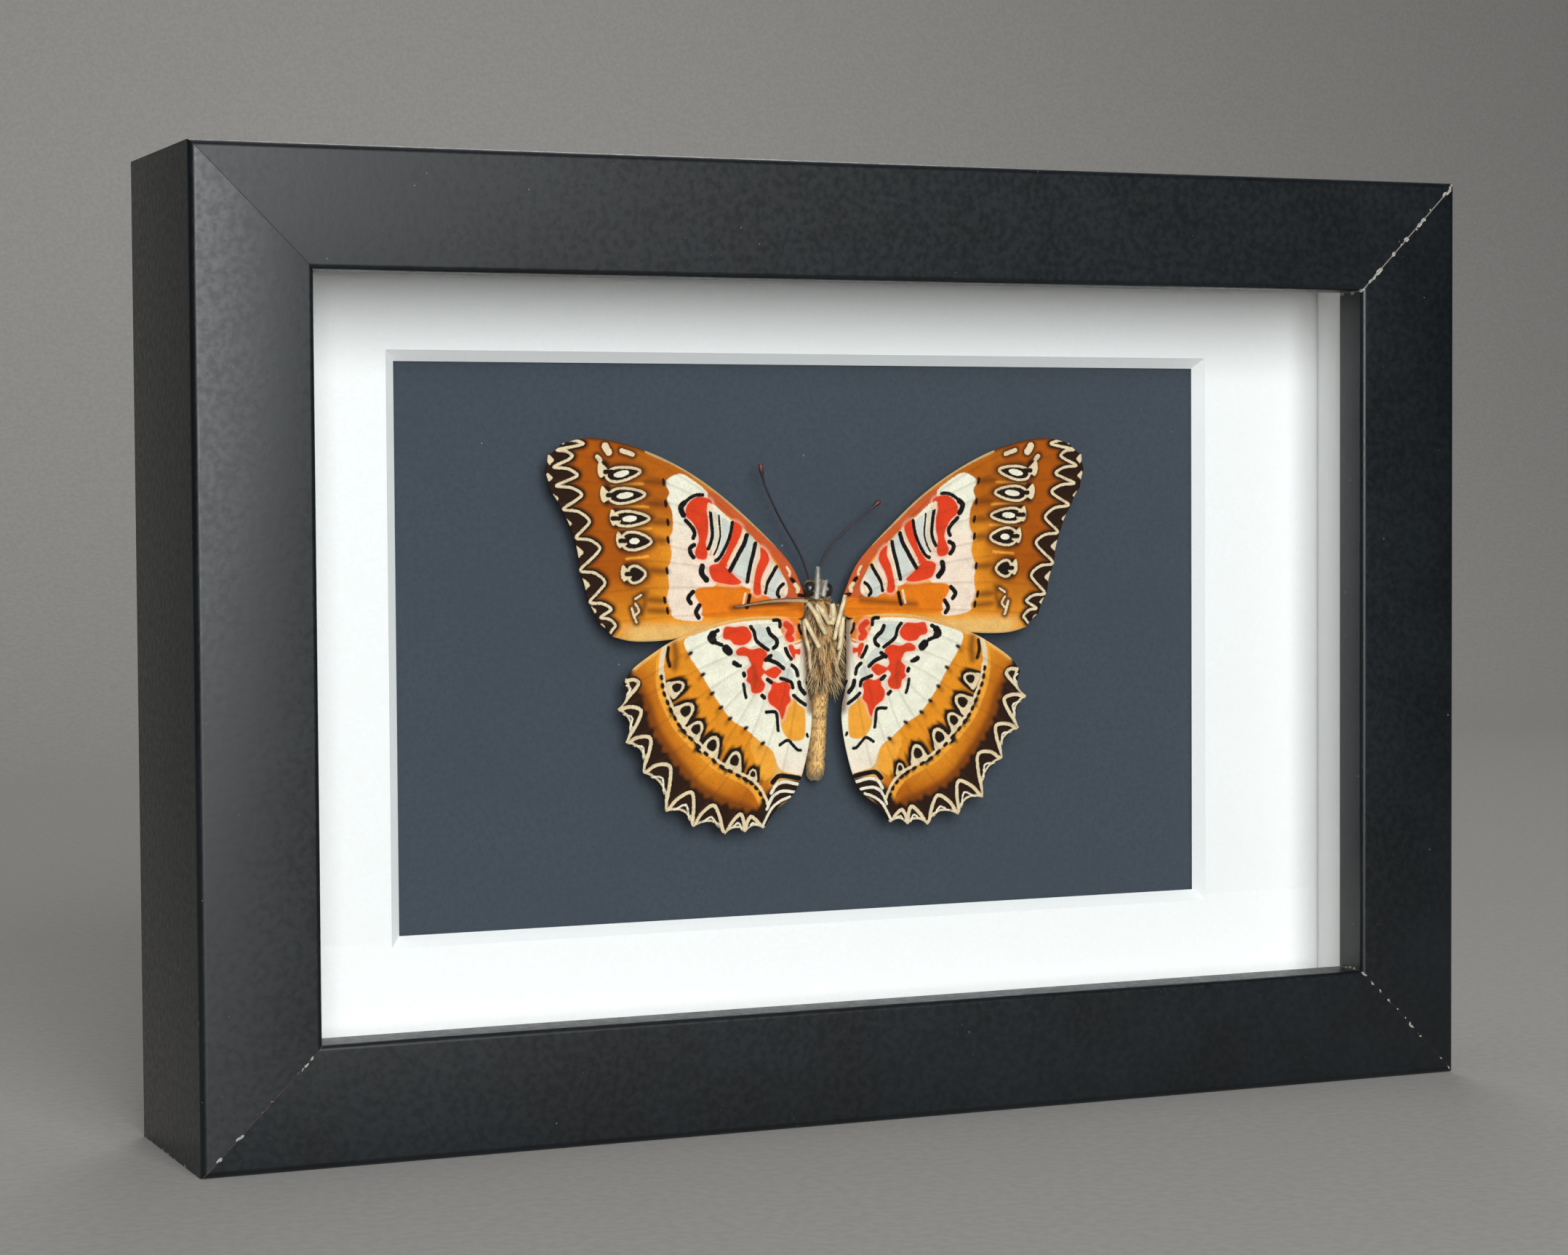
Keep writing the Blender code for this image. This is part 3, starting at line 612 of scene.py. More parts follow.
        bars = [
            (0.50, [(16.9, 80.8), (17.8, 80.8), (18.6, 80.5), (19.3, 80.0)]),
            (0.78, [(19.5, 79.8), (20.0, 79.3), (19.9, 78.7), (19.6, 78.2)]),
            (0.58, [(19.3, 77.5), (18.5, 76.7), (18.0, 75.9), (18.2, 75.2)]),
            (0.62, [(18.1, 74.3), (18.7, 73.9), (18.6, 73.2), (18.2, 72.7)]),
            (0.52, [(15.8, 78.6), (15.6, 77.0), (15.5, 75.5), (15.8, 74.4), (16.1, 73.8)]),
            (0.30, [(14.6, 78.1), (14.5, 77.0), (14.4, 75.4), (14.8, 73.9), (15.3, 73.0)]),
            (0.50, [(12.7, 77.2), (12.9, 76.0), (13.2, 75.0), (13.8, 73.7), (14.5, 72.6), (15.1, 72.2)]),
            (0.64, [(10.7, 75.5), (11.1, 74.3), (11.8, 73.1), (12.5, 71.9), (13.1, 70.9)]),
            (0.58, [(9.5, 74.4), (9.8, 73.0), (10.1, 72.0), (10.4, 70.8), (10.7, 69.4)]),
            (0.54, [(6.5, 71.3), (7.1, 70.3), (7.9, 69.0), (8.1, 67.9)]),
            (0.50, [(5.5, 69.0), (6.1, 68.5), (6.4, 67.7), (6.1, 67.3)]),
            (0.55, [(4.3, 69.6), (4.0, 69.3)]),
            (0.50, [(3.3, 67.5), (2.7, 67.4)]),
        ]
        creams = [
            (0.28, [(15.1, 78.3), (15.0, 76.5), (15.0, 75.0), (15.4, 73.8), (16.0, 72.9)]),
            (0.26, [(11.0, 76.2), (11.8, 74.6), (12.7, 73.0), (13.4, 71.7)]),
            (0.28, [(9.1, 74.4), (9.0, 73.0), (9.5, 71.8), (9.9, 70.0), (10.1, 68.0)]),
            (0.30, [(7.1, 72.0), (7.4, 70.8), (8.1, 69.5), (8.4, 68.2)]),
            (0.30, [(5.1, 68.8), (5.5, 68.2), (5.7, 67.4)]),
            (0.60, [(16.0, 79.5), (15.9, 79.1), (15.6, 78.9)]),
            (0.35, [(5.0, 71.2), (4.6, 70.6), (4.6, 70.1)]),
            (0.55, [(3.8, 68.9), (3.4, 68.4), (3.5, 68.0)]),
        ]
        draw_marks(layers, {"red": reds, "pale": pales}, {"black": bars, "cream": creams})

    def draw_ovals(self, layers):
        """Draw the row of ringed ovals and the cream wedges outside them."""
        rows = [
            ((27.9, 83.6), 2.25, 0.80, -8, 0.95), ((27.4, 80.8), 2.35, 0.88, -3, 1.00),
            ((26.8, 77.8), 2.35, 0.86, 0, 0.85), ((26.2, 74.9), 1.95, 1.05, 2, 0.55),
            ((26.2, 70.6), 1.10, 1.00, 0, 0.0),
        ]
        wedges = [(30.9, 84.1), (30.5, 80.9), (29.2, 77.9), (28.4, 75.0), (27.8, 70.7)]
        for (centre, length, width, tilt, core), wedge in zip(rows, wedges):
            layers["smudge"].patch(oval(centre, length + 1.0, width + 0.75, tilt, 0.2))
            layers["umber"].patch(oval(centre, length + 0.50, width + 0.42, tilt, 0.35))
            layers["brown"].patch(oval(centre, length + 0.20, width + 0.20, tilt, 0.35))
            layers["cream"].ring(0.34, oval(centre, length + 0.1, width + 0.06, tilt, 0.35))
            gap = (centre[0] + length + 0.25, (centre[1] + wedge[1]) / 2)
            layers["brown_top"].stroke(0.62, [gap, (centre[0] + length - 0.7, gap[1])])
            if core:
                layers["cream_top"].patch(oval((centre[0] + 0.25, centre[1]), core + 0.15, 0.40, tilt - 4))
            layers["umber"].patch(oval((wedge[0] - 0.3, wedge[1]), 1.4, 0.95, 90))
            x, y = wedge
            layers["cream"].patch([
                (x + 0.30, y + 1.15), (x + 0.55, y + 0.3), (x + 0.45, y - 0.5), (x + 0.10, y - 1.0),
                (x - 0.35, y - 0.75), (x - 0.95, y - 0.45), (x - 0.70, y + 0.25), (x - 0.30, y + 0.60),
            ])
        for start, end in [((25.2, 82.3), (29.6, 82.1)), ((24.5, 79.3), (29.0, 79.5)),
                           ((24.2, 76.5), (28.2, 76.5)), ((24.6, 72.9), (27.6, 72.6))]:
            layers["gold"].stroke(0.35, [start, end])
        for width, line in [
            (0.95, [(30.4, 87.2), (30.2, 86.8), (29.9, 86.4)]), (0.60, [(31.5, 85.8), (31.1, 85.4)]),
            (0.60, [(26.6, 86.1), (28.1, 86.6)]), (0.30, [(26.4, 66.8), (25.9, 65.9), (26.4, 65.3)]),
            (0.35, [(26.9, 66.2), (26.6, 65.2), (26.3, 64.4)]), (0.3, [(25.6, 67.9), (26.4, 67.4)]),
        ]:
            layers["umber"].stroke(width + 0.6, line)
            layers["cream"].stroke(width, line)
        layers["smudge"].stroke(0.8, [(25.0, 68.2), (25.1, 66.8), (25.5, 65.4)])

    def draw_lacing(self, layers):
        """Draw the dark border, its cream zigzag, the marginal wedges and the tan costa."""
        peaks = [(33.4, 87.5), (34.9, 85.9), (34.2, 83.5), (33.6, 81.0), (32.6, 77.6),
                 (31.2, 74.1), (30.5, 69.7), (29.7, 66.2), (29.2, 64.1)]
        troughs = [(36.2, 88.0), (37.0, 86.7), (37.4, 84.5), (37.1, 82.1), (36.2, 79.1),
                   (34.5, 75.4), (33.9, 71.2), (32.6, 67.1), (31.2, 65.1), (30.0, 63.0)]
        zigzag = [troughs[0]]
        # Each tooth bulges on its way in and again on its way out, so that its peak is round.
        for (x, y), (x1, y1), (x2, y2) in zip(peaks, troughs, troughs[1:]):
            rising = (x + (x1 - x) * 0.42, y1 + (y - y1) * 0.22)
            falling = (x + (x2 - x) * 0.34, y + (y2 - y) * 0.42)
            zigzag += [rising, (x, y), falling, (x2, y2)]
        layers["cream"].stroke(0.36, zigzag)
        layers["brown"].stroke(0.75, zigzag)
        layers["umber"].stroke(1.3, zigzag)
        layers["umber"].patch(
            zigzag + [(30.2, 61.6), (33.0, 63.6), (35.0, 68.0), (36.5, 74.0), (39.0, 80.0),
                      (40.0, 84.0), (38.4, 88.4)])
        for (x, y), size in zip(
                [(36.2, 87.9), (37.9, 85.5), (38.0, 83.2), (37.2, 80.5), (35.5, 77.3),
                 (34.0, 73.6), (33.1, 69.4), (32.1, 66.0), (30.9, 63.9)],
                [0.7, 0.85, 0.7, 0.65, 0.7, 0.9, 0.9, 0.65, 0.55]):
            layers["cream"].patch([
                (x - 0.62 * size, y - 0.1 * size), (x, y + 0.55 * size),
                (x + 0.55 * size, y + 0.85 * size), (x + 0.5 * size, y),
                (x + 0.1 * size, y - 0.85 * size), (x - 0.15 * size, y - 0.6 * size),
            ])
        layers["tan"].stroke(0.6, [(6.5, 74.2), (9.6, 76.9), (14.6, 81.1), (19.6, 84.3), (24.6, 86.5)])
        layers["umber"].stroke(0.5, [(24.6, 86.6), (29.6, 88.0), (33.1, 88.3)])
        layers["tan"].stroke(0.35, [(21.6, 61.95), (26.6, 61.85), (29.6, 62.5)])


class Hindwing:
    """The hindwing's outline and marks, in millimetres."""

    name = "hindwing"
    moved_out = 0.6
    scallop = 1.3
    blush_below = 49.0
    costa = [
        (2.3, 64.0), (5.4, 64.7), (9.9, 64.8), (14.4, 64.2), (18.4, 62.9),
        (21.4, 61.8), (24.4, 60.1), (26.8, 58.4), (28.2, 56.6),
    ]
    margin = [
        (29.2, 53.2), (28.0, 48.8), (25.6, 44.8), (22.6, 39.6),
        (18.8, 37.4), (14.2, 36.2), (11.2, 36.4), (8.6, 36.8),
    ]
    rear = [
        (6.9, 39.1), (4.8, 40.7), (3.4, 42.8), (2.4, 46.0), (1.7, 49.5),
        (1.6, 52.5), (2.2, 55.5), (2.3, 60.0),
    ]
    veins = [
        [(3.0, 63.6), (10.0, 63.6), (17.0, 61.4), (24.0, 57.8), (28.6, 55.4)],
        [(10.5, 60.4), (15.0, 59.2), (22.0, 56.2), (29.0, 53.2)],
        [(10.4, 58.6), (15.0, 56.2), (21.5, 52.0), (27.6, 49.0)],
        [(9.8, 57.0), (13.5, 53.4), (19.0, 48.8), (25.2, 45.2)],
        [(9.0, 56.0), (11.6, 51.8), (15.8, 46.4), (22.2, 40.4)],
        [(7.8, 56.0), (9.6, 50.6), (13.0, 44.8), (18.6, 38.2)],
        [(4.6, 59.0), (6.4, 52.0), (9.2, 45.0), (14.0, 37.0)],
        [(3.0, 60.0), (4.2, 52.0), (6.0, 44.0), (8.8, 37.4)],
        [(3.0, 63.0), (8.0, 61.4), (10.5, 60.4), (10.4, 58.6), (9.8, 57.0), (7.8, 56.0), (3.2, 60.6)],
    ]

    def ground(self, where):
        """Return how toasted, and how peach, the ground colour is at each vertex."""
        out, up = where[:, 0], where[:, 1]
        edge, _ = nearest(where, self.margin)
        toast = np.clip((8.4 - edge) / 3.6, 0.0, 1.0) * 0.70 + 0.14
        peach = 0.85 * np.clip((48.0 - up) / 2.5, 0.0, 1.0) * np.clip((8.0 - out) / 1.5, 0.0, 1.0)
        rim, _ = nearest(where, smooth_line(self.costa))
        peach = np.maximum(peach, np.clip((0.55 - rim) / 0.4, 0.0, 1.0) * (out < 28))
        return toast, peach

    def draw(self, layers):
        """Draw the white field, basal marks, eyespots, lacing and anal stripes."""
        layers["white"].patch([
            (19.6, 61.9), (19.0, 60.0), (17.4, 57.6), (16.0, 55.3), (14.7, 53.4), (13.0, 51.3),
            (11.0, 50.1), (9.9, 49.1), (8.7, 48.1), (7.4, 47.2), (6.9, 46.2), (6.2, 44.6),
            (4.6, 44.0), (2.6, 43.8), (1.8, 46.0), (1.4, 50.0), (1.4, 54.0), (2.0, 60.0),
            (2.2, 63.6), (6.0, 64.2), (10.0, 64.3), (14.0, 63.8), (17.5, 62.8),
        ])
        self.draw_base(layers)
        self.draw_eyespots(layers)
        self.draw_lacing(layers)
        self.draw_tail(layers)

    def draw_base(self, layers):
        """Draw the red, pale and black marks of the wing's base, and painted shade beside the body."""
        reds = [
            [(10.1, 62.3), (10.5, 63.1), (11.2, 63.6), (12.6, 63.5), (13.8, 63.6), (14.2, 62.8),
             (14.1, 62.0), (13.2, 61.8), (12.6, 61.2), (11.3, 61.1), (10.4, 61.6)],
            [(7.9, 59.8), (8.2, 60.3), (9.0, 60.7), (10.2, 60.5), (11.4, 60.9), (12.4, 60.4),
             (12.2, 59.8), (10.9, 59.6), (10.5, 59.0), (10.3, 58.4), (10.9, 57.8), (10.8, 57.0),
             (11.0, 56.4), (10.4, 55.9), (10.2, 54.9), (9.3, 54.7), (8.5, 55.1), (8.3, 55.9),
             (8.8, 56.8), (8.2, 57.5), (8.6, 58.2), (8.3, 59.0)],
            [(5.9, 57.6), (6.7, 58.2), (7.6, 57.9), (8.4, 57.5), (7.8, 56.9), (6.9, 56.6), (6.3, 57.0)],
            [(4.6, 55.5), (5.4, 56.2), (6.4, 56.0), (7.3, 56.3), (7.4, 55.3), (7.9, 54.5), (7.7, 53.4),
             (6.9, 52.8), (6.3, 52.2), (5.9, 51.1), (5.5, 51.9), (5.2, 52.9), (4.6, 53.6), (4.8, 54.6)],
            [(4.9, 60.9), (4.3, 61.0), (3.9, 60.4), (3.2, 60.4), (3.3, 59.6), (3.9, 59.8),
             (4.0, 59.0), (4.6, 59.9)],
        ]
        pales = [
            [(9.6, 63.3), (8.2, 63.4), (7.5, 62.5), (7.0, 61.4), (7.8, 60.8), (8.8, 61.4), (9.3, 62.3)],
            [(7.4, 60.4), (6.3, 60.1), (5.6, 59.4), (5.2, 58.4), (6.2, 58.7), (7.2, 59.5)],
            [(5.8, 57.4), (5.2, 57.9), (4.4, 57.6), (4.2, 56.6), (5.0, 56.5), (5.8, 56.8)],
        ]
        bars = [
            (0.55, [(14.9, 63.1), (15.6, 62.7), (16.0, 62.1), (15.4, 61.6), (14.4, 61.2)]),
            (1.05, [(15.6, 62.6), (15.9, 62.1), (15.6, 61.8)]),
            (1.15, [(13.8, 60.7), (13.4, 60.3)]),
            (0.70, [(12.7, 58.8), (12.2, 58.5)]),
            (0.50, [(12.2, 58.5), (11.8, 58.4)]),
            (0.58, [(11.35, 57.4), (11.25, 57.1)]),
            (0.46, [(11.4, 56.0), (11.2, 54.9), (11.0, 54.2)]),
            (0.58, [(8.7, 54.4), (8.4, 54.1)]),
            (0.54, [(10.3, 63.5), (9.8, 62.8), (9.5, 61.7), (8.7, 61.0), (7.8, 60.4)]),
            (0.60, [(7.8, 63.2), (7.5, 62.5), (6.9, 62.0), (6.5, 61.5), (6.6, 60.9), (7.0, 60.6)]),
            (0.58, [(7.4, 59.6), (7.9, 59.2), (7.2, 58.9), (6.5, 58.6), (5.6, 57.9)]),
            (0.62, [(8.1, 59.1), (7.8, 59.2)]),
            (0.58, [(7.9, 56.5), (7.4, 56.1)]),
            (0.52, [(6.0, 56.6), (5.1, 56.3), (4.5, 56.0), (4.3, 55.3)]),
            (0.54, [(5.3, 60.5), (5.0, 59.8), (4.5, 59.1)]),
            (0.54, [(4.4, 58.3), (3.8, 57.7), (3.6, 56.9)]),
            (0.62, [(3.4, 56.0), (3.2, 55.2), (2.6, 54.5)]),
            (0.52, [(4.2, 54.3), (3.4, 53.6), (2.5, 53.0)]),
            (0.48, [(8.1, 52.2), (6.9, 52.2), (6.6, 51.7), (6.5, 50.5), (6.4, 49.7)]),
            (0.44, [(6.2, 47.8), (5.1, 48.4), (4.4, 47.8), (3.7, 47.1), (3.2, 47.0)]),
            (0.42, [(2.3, 49.1), (2.2, 48.8)]),
            (0.52, [(7.0, 64.3), (6.2, 64.2), (6.1, 63.4)]),
            (0.40, [(3.4, 63.6), (3.3, 62.9), (3.0, 62.4)]),
            (0.40, [(2.3, 56.0), (1.9, 55.2)]),
        ]
        layers["gold"].patch([
            (2.6, 52.4), (2.5, 50.1), (2.8, 48.5), (4.4, 48.3), (5.4, 49.0), (6.0, 50.3),
            (6.0, 52.0), (5.4, 53.2), (4.4, 53.9), (3.4, 53.0),
        ])
        layers["gold"].patch([(9.9, 48.9), (8.6, 47.9), (7.3, 47.0), (7.0, 45.6), (7.3, 44.0),
                              (8.6, 43.2), (9.6, 44.4), (9.8, 46.0), (10.4, 47.6)])
        layers["orange"].patch([(6.0, 64.1), (4.9, 64.6), (3.4, 64.2), (2.9, 61.8), (3.6, 61.0),
                                (5.2, 61.4), (5.5, 62.2), (5.9, 62.8)])
        layers["red"].stroke(0.95, [(5.2, 63.7), (4.5, 63.0), (4.9, 62.2), (4.5, 61.7)])
        layers["cream"].stroke(0.22, [(3.1, 61.6), (4.2, 61.2), (5.5, 61.2)])
        # Painted shade beside the body: darkens the wing's inner edge next to the thorax and abdomen.
        layers["smudge"].stroke(1.7, [(2.3, 65.0), (2.1, 60.0), (1.7, 55.0), (1.5, 52.5)])
        draw_marks(layers, {"red": reds, "pale": pales}, {"black": bars})
        layers["smudge"].stroke(0.2, [(9.9, 58.4), (9.6, 56.9), (9.8, 55.5)])
        for x, y in [(18.8, 60.2), (17.1, 57.4), (15.8, 54.9), (14.6, 53.0), (13.3, 51.5),
                     (11.0, 50.2), (8.6, 48.1)]:
            layers["brown"].patch(oval((x, y), 0.40, 0.24, -30))
            layers["smudge"].patch(oval((x + 0.3, y - 0.3), 0.5, 0.15, -50))

    def draw_eyespots(self, layers):
        """Draw the row of ringed teardrops and the dashed cream line outside them."""
        dashed = [(22.4, 61.3), (22.8, 59.4), (22.9, 57.6), (22.6, 55.4), (21.7, 53.2), (20.7, 51.2),
                  (19.3, 49.5), (17.2, 47.4), (15.0, 45.5), (12.6, 44.2), (10.6, 43.2), (9.2, 41.8),
                  (8.3, 39.9)]
        layers["cream"].stroke(0.72, dashed[:3])
        layers["cream"].stroke(0.42, [(x - 0.30, y + 0.24) for x, y in dashed[2:]])
        layers["gold"].stroke(0.80, [(x + 0.36, y - 0.28) for x, y in dashed])
        for (x1, y1), (x2, y2) in zip(dashed[2:-1], dashed[3:]):
            for share in ((0.12, 0.26), (0.62, 0.76)):
                dash = [(x1 + (x2 - x1) * part, y1 + (y2 - y1) * part) for part in share]
                layers["brown_top"].stroke(0.50, dash)
        arch = [(-1.15, -1.2), (-1.0, -0.2), (-0.62, 0.8), (0.0, 1.2), (0.62, 0.8), (1.0, -0.2),
                (1.15, -1.2)]
        core = [(-0.52, -0.5), (-0.6, 0.1), (-0.34, 0.58), (0.0, 0.78), (0.34, 0.58), (0.6, 0.1),
                (0.52, -0.5), (0.0, -0.66)]
        spots = [
            ((20.7, 55.8), 0.95, 155), ((19.5, 52.7), 1.12, 143), ((18.1, 50.3), 1.0, 131),
            ((15.9, 48.1), 1.12, 120), ((12.7, 46.0), 1.05, 107), ((10.1, 44.1), 0.60, 100),
        ]
        for centre, size, tilt in spots:
            lean = math.radians(tilt - 90)
            turn = np.array([[math.cos(lean), math.sin(lean)], [-math.sin(lean), math.cos(lean)]])
            bow = [tuple(p) for p in np.array(arch) * size @ turn + centre]
            layers["umber"].stroke(1.25, bow)
            layers["brown"].stroke(0.85, bow)
            layers["cream"].patch(bow)
            layers["brown_top"].patch([tuple(p) for p in np.array(core) * size @ turn + centre])
        layers["smudge"].stroke(0.9, [(21.0, 61.4), (20.8, 59.8), (21.0, 58.4)])
        layers["brown"].stroke(0.55, [(21.9, 61.0), (22.0, 59.8), (21.7, 58.6)])

    def draw_lacing(self, layers):
        """Draw the dark border and the cream arches from tooth to tooth."""
        corner = (28.0, 56.9)
        tips = [corner] + self.margin
        peaks = [(26.1, 56.3), (25.7, 52.8), (24.4, 49.2), (21.7, 45.4), (18.7, 42.0),
                 (15.6, 40.2), (11.8, 38.9), (10.3, 38.5)]
        outside = [(9.8, 39.4), (8.2, 39.2), (7.6, 36.0), (14.0, 35.0), (20.0, 36.0), (24.0, 38.0),
                   (27.4, 44.0), (29.6, 48.0), (30.4, 53.0)]
        for pigment, reach in (("umber", 0.55), ("smudge", 1.35)):
            crest = [(x - reach, y + 0.9 * reach) for x, y in peaks[1:-1]]
            layers[pigment].patch([(28.6, 58.0), (26.4, 57.4)] + crest + outside)
        # Two sine waves round the wing's root fray the border's inner edge into rays.
        out, up = layers["umber"].where.T
        turn = np.arctan2(up - ROOT_HEIGHT, out)
        layers["umber"].value += 0.14 * np.sin(150 * turn) + 0.16 * np.sin(87 * turn + 1.0)
        for start, end, peak in zip(tips, tips[1:], peaks):
            a, b, p = np.array(start), np.array(end), np.array(peak)
            lean = (a - b) * 0.12
            arch = [a + (p - a) * 0.14, a + (p - a) * 0.58 + lean, p + lean * 0.3,
                    p + (b - p) * 0.32 - lean * 0.5, b + (p - b) * 0.14]
            arch = [tuple(point) for point in arch]
            layers["brown"].stroke(0.90, arch)
            layers["cream"].stroke(0.46, arch)
            middle = (a + b) / 2
            inward = p - middle
            fringe = [a + (b - a) * 0.24 + inward * 0.20, middle + inward * 0.56,
                      a + (b - a) * 0.80 + inward * 0.16]
            layers["cream_top"].stroke(0.24, [tuple(point) for point in fringe])
        rim = scalloped_line([(x - 0.22, y + 0.18) for x, y in tips], self.scallop)
        layers["cream"].stroke(0.28, rim)

    def draw_tail(self, layers):
        """Draw the brown and white stripes at the anal angle."""
        layers["black"].stroke(0.66, [(7.3, 42.9), (6.4, 43.7), (5.0, 43.6), (3.4, 43.3)])
        layers["umber"].stroke(2.8, [(8.6, 38.2), (7.0, 40.8), (5.4, 41.6), (4.0, 41.8)])
        draw_marks(layers, {}, {"cream_top": [
            (0.42, [(7.5, 41.5), (6.7, 42.6), (5.4, 42.9), (3.6, 42.5)]),
            (0.38, [(8.1, 39.4), (7.3, 41.0), (6.0, 41.7), (4.2, 41.5)]),
            (0.34, [(8.7, 37.3), (7.5, 39.4), (6.2, 40.4), (4.8, 40.9)]),
        ]})


LAYERS = [
    "white", "gold", "tomato", "orange", "pale", "red", "smudge", "umber", "tan",
    "brown", "black", "cream", "brown_top", "cream_top", "vein",
]


def build_wing(settings, wing, side, sign, front, mat, under):
    """Make one wing as a fine sheet that carries its marks, and give it a thickness."""
    step = settings.scale_spacing / MM
    outline = smooth_line(wing.costa, 8)
    outline += scalloped_line([wing.costa[-1]] + wing.margin, wing.scallop)[1:]
    outline += smooth_line([wing.margin[-1]] + wing.rear, 8)[1:]
    corners = np.array(outline)
    low, high = corners.min(axis=0) - step, corners.max(axis=0) + step
    columns = int((high[0] - low[0]) / step) + 1
    rows = int((high[1] - low[1]) / step) + 1
    across, up = np.meshgrid(low[0] + step * np.arange(columns), low[1] + step * np.arange(rows))
    where = np.stack([across.ravel(), up.ravel()], axis=1)
    gap, edge = nearest(where, outline, closed=True)
    gap[~inside(where, outline)] *= -1
    keep = (gap > -0.45 * step).reshape(rows, columns)
    index = np.arange(rows * columns).reshape(rows, columns)
    whole = keep[:-1, :-1] & keep[1:, :-1] & keep[:-1, 1:] & keep[1:, 1:]
    quads = np.stack([index[:-1, :-1][whole], index[:-1, 1:][whole],
                      index[1:, 1:][whole], index[1:, :-1][whole]], axis=1)
    used, faces = np.unique(quads, return_inverse=True)
    faces = faces.reshape(quads.shape)
    uses = np.bincount(faces.ravel(), minlength=len(used))
    where, edge, gap = where[used], edge[used], gap[used]
    border = (uses < 4)
    where[border] = edge[border]
    if sign < 0:
        faces = faces[:, ::-1]

    layers = {name: Layer(where) for name in LAYERS}
    wing.draw(layers)
    for vein in wing.veins:
        layers["vein"].stroke(0.2, vein)
    toast, peach = wing.ground(where)

    out, height = where[:, 0] + wing.moved_out, where[:, 1] - ROOT_HEIGHT
    ridge = np.exp(-((layers["vein"].value - 0.1) / 0.22) ** 2)
    ripple = np.sin(out * 0.42 + height * 0.13) * 0.10 + np.sin(height * 0.55 - out * 0.2) * 0.07
    ease = np.clip((out - 4.0) / 8.0, 0.0, 1.0)
    depth = ripple * ease - ridge * 0.07
    points = np.zeros((len(where), 3))
    points[:, 0] = WING_AXIS_X + sign * out * MM
    points[:, 1] = front + depth * MM
    points[:, 2] = FOOT_Z + where[:, 1] * MM

    name = wing.name + "_" + side
    data = bpy.data.meshes.new(name + "_scaled")
    data.from_pydata(points.tolist(), [], faces.tolist())
    data.update()
    blush = np.clip((wing.blush_below - where[:, 1]) / 6.0, 0.0, 1.0)
    stored = {key: layer.value for key, layer in layers.items()}
    stored.update(toast=toast, peach=peach, blush=blush)
    for key, value in stored.items():
        column = data.attributes.new(key, "FLOAT", "POINT")
        column.data.foreach_set("value", value.astype(np.float32))
    data.shade_smooth()
    piece = link_mesh(name + "_scaled", data, [mat, under], [name])
    thick = piece.modifiers.new("thickness", "SOLIDIFY")
    thick.thickness = settings.wing_thickness
    thick.offset = -1.0
    thick.material_offset = 1
    thick.material_offset_rim = 0
    return piece


# -------------------------------------------------------------------- body
# Body points are (x, depth behind the frame's front face, height, radius), in millimetres.

BODY_LINE = [
    (-0.55, 18.9, 43.1, 0.40), (-0.55, 18.9, 43.5, 0.90), (-0.50, 18.8, 44.6, 1.15),
    (-0.40, 18.7, 47.5, 1.20), (-0.30, 18.6, 50.5, 1.20), (-0.15, 18.4, 53.2, 1.15),
    (0.00, 18.1, 55.2, 1.20), (0.10, 17.8, 57.0, 1.85), (0.10, 17.8, 59.5, 2.20),
    (0.10, 17.8, 62.5, 2.30), (0.00, 17.8, 65.0, 2.10), (-0.35, 17.7, 66.6, 1.45),
    (-0.60, 17.6, 67.3, 1.15), (-0.85, 17.5, 68.1, 1.30), (-0.95, 17.5, 68.9, 1.10),
    (-0.95, 17.5, 69.4, 0.50),
]
# Heights of the abdomen's first groove, of the waist and of the neck, and the length of one segment.
FIRST_GROOVE = 44.0
WAIST = 55.6
NECK = 66.6
SEGMENT = 1.45
# The body is a little flatter from front to back than from side to side.
FLATTENED = 0.95

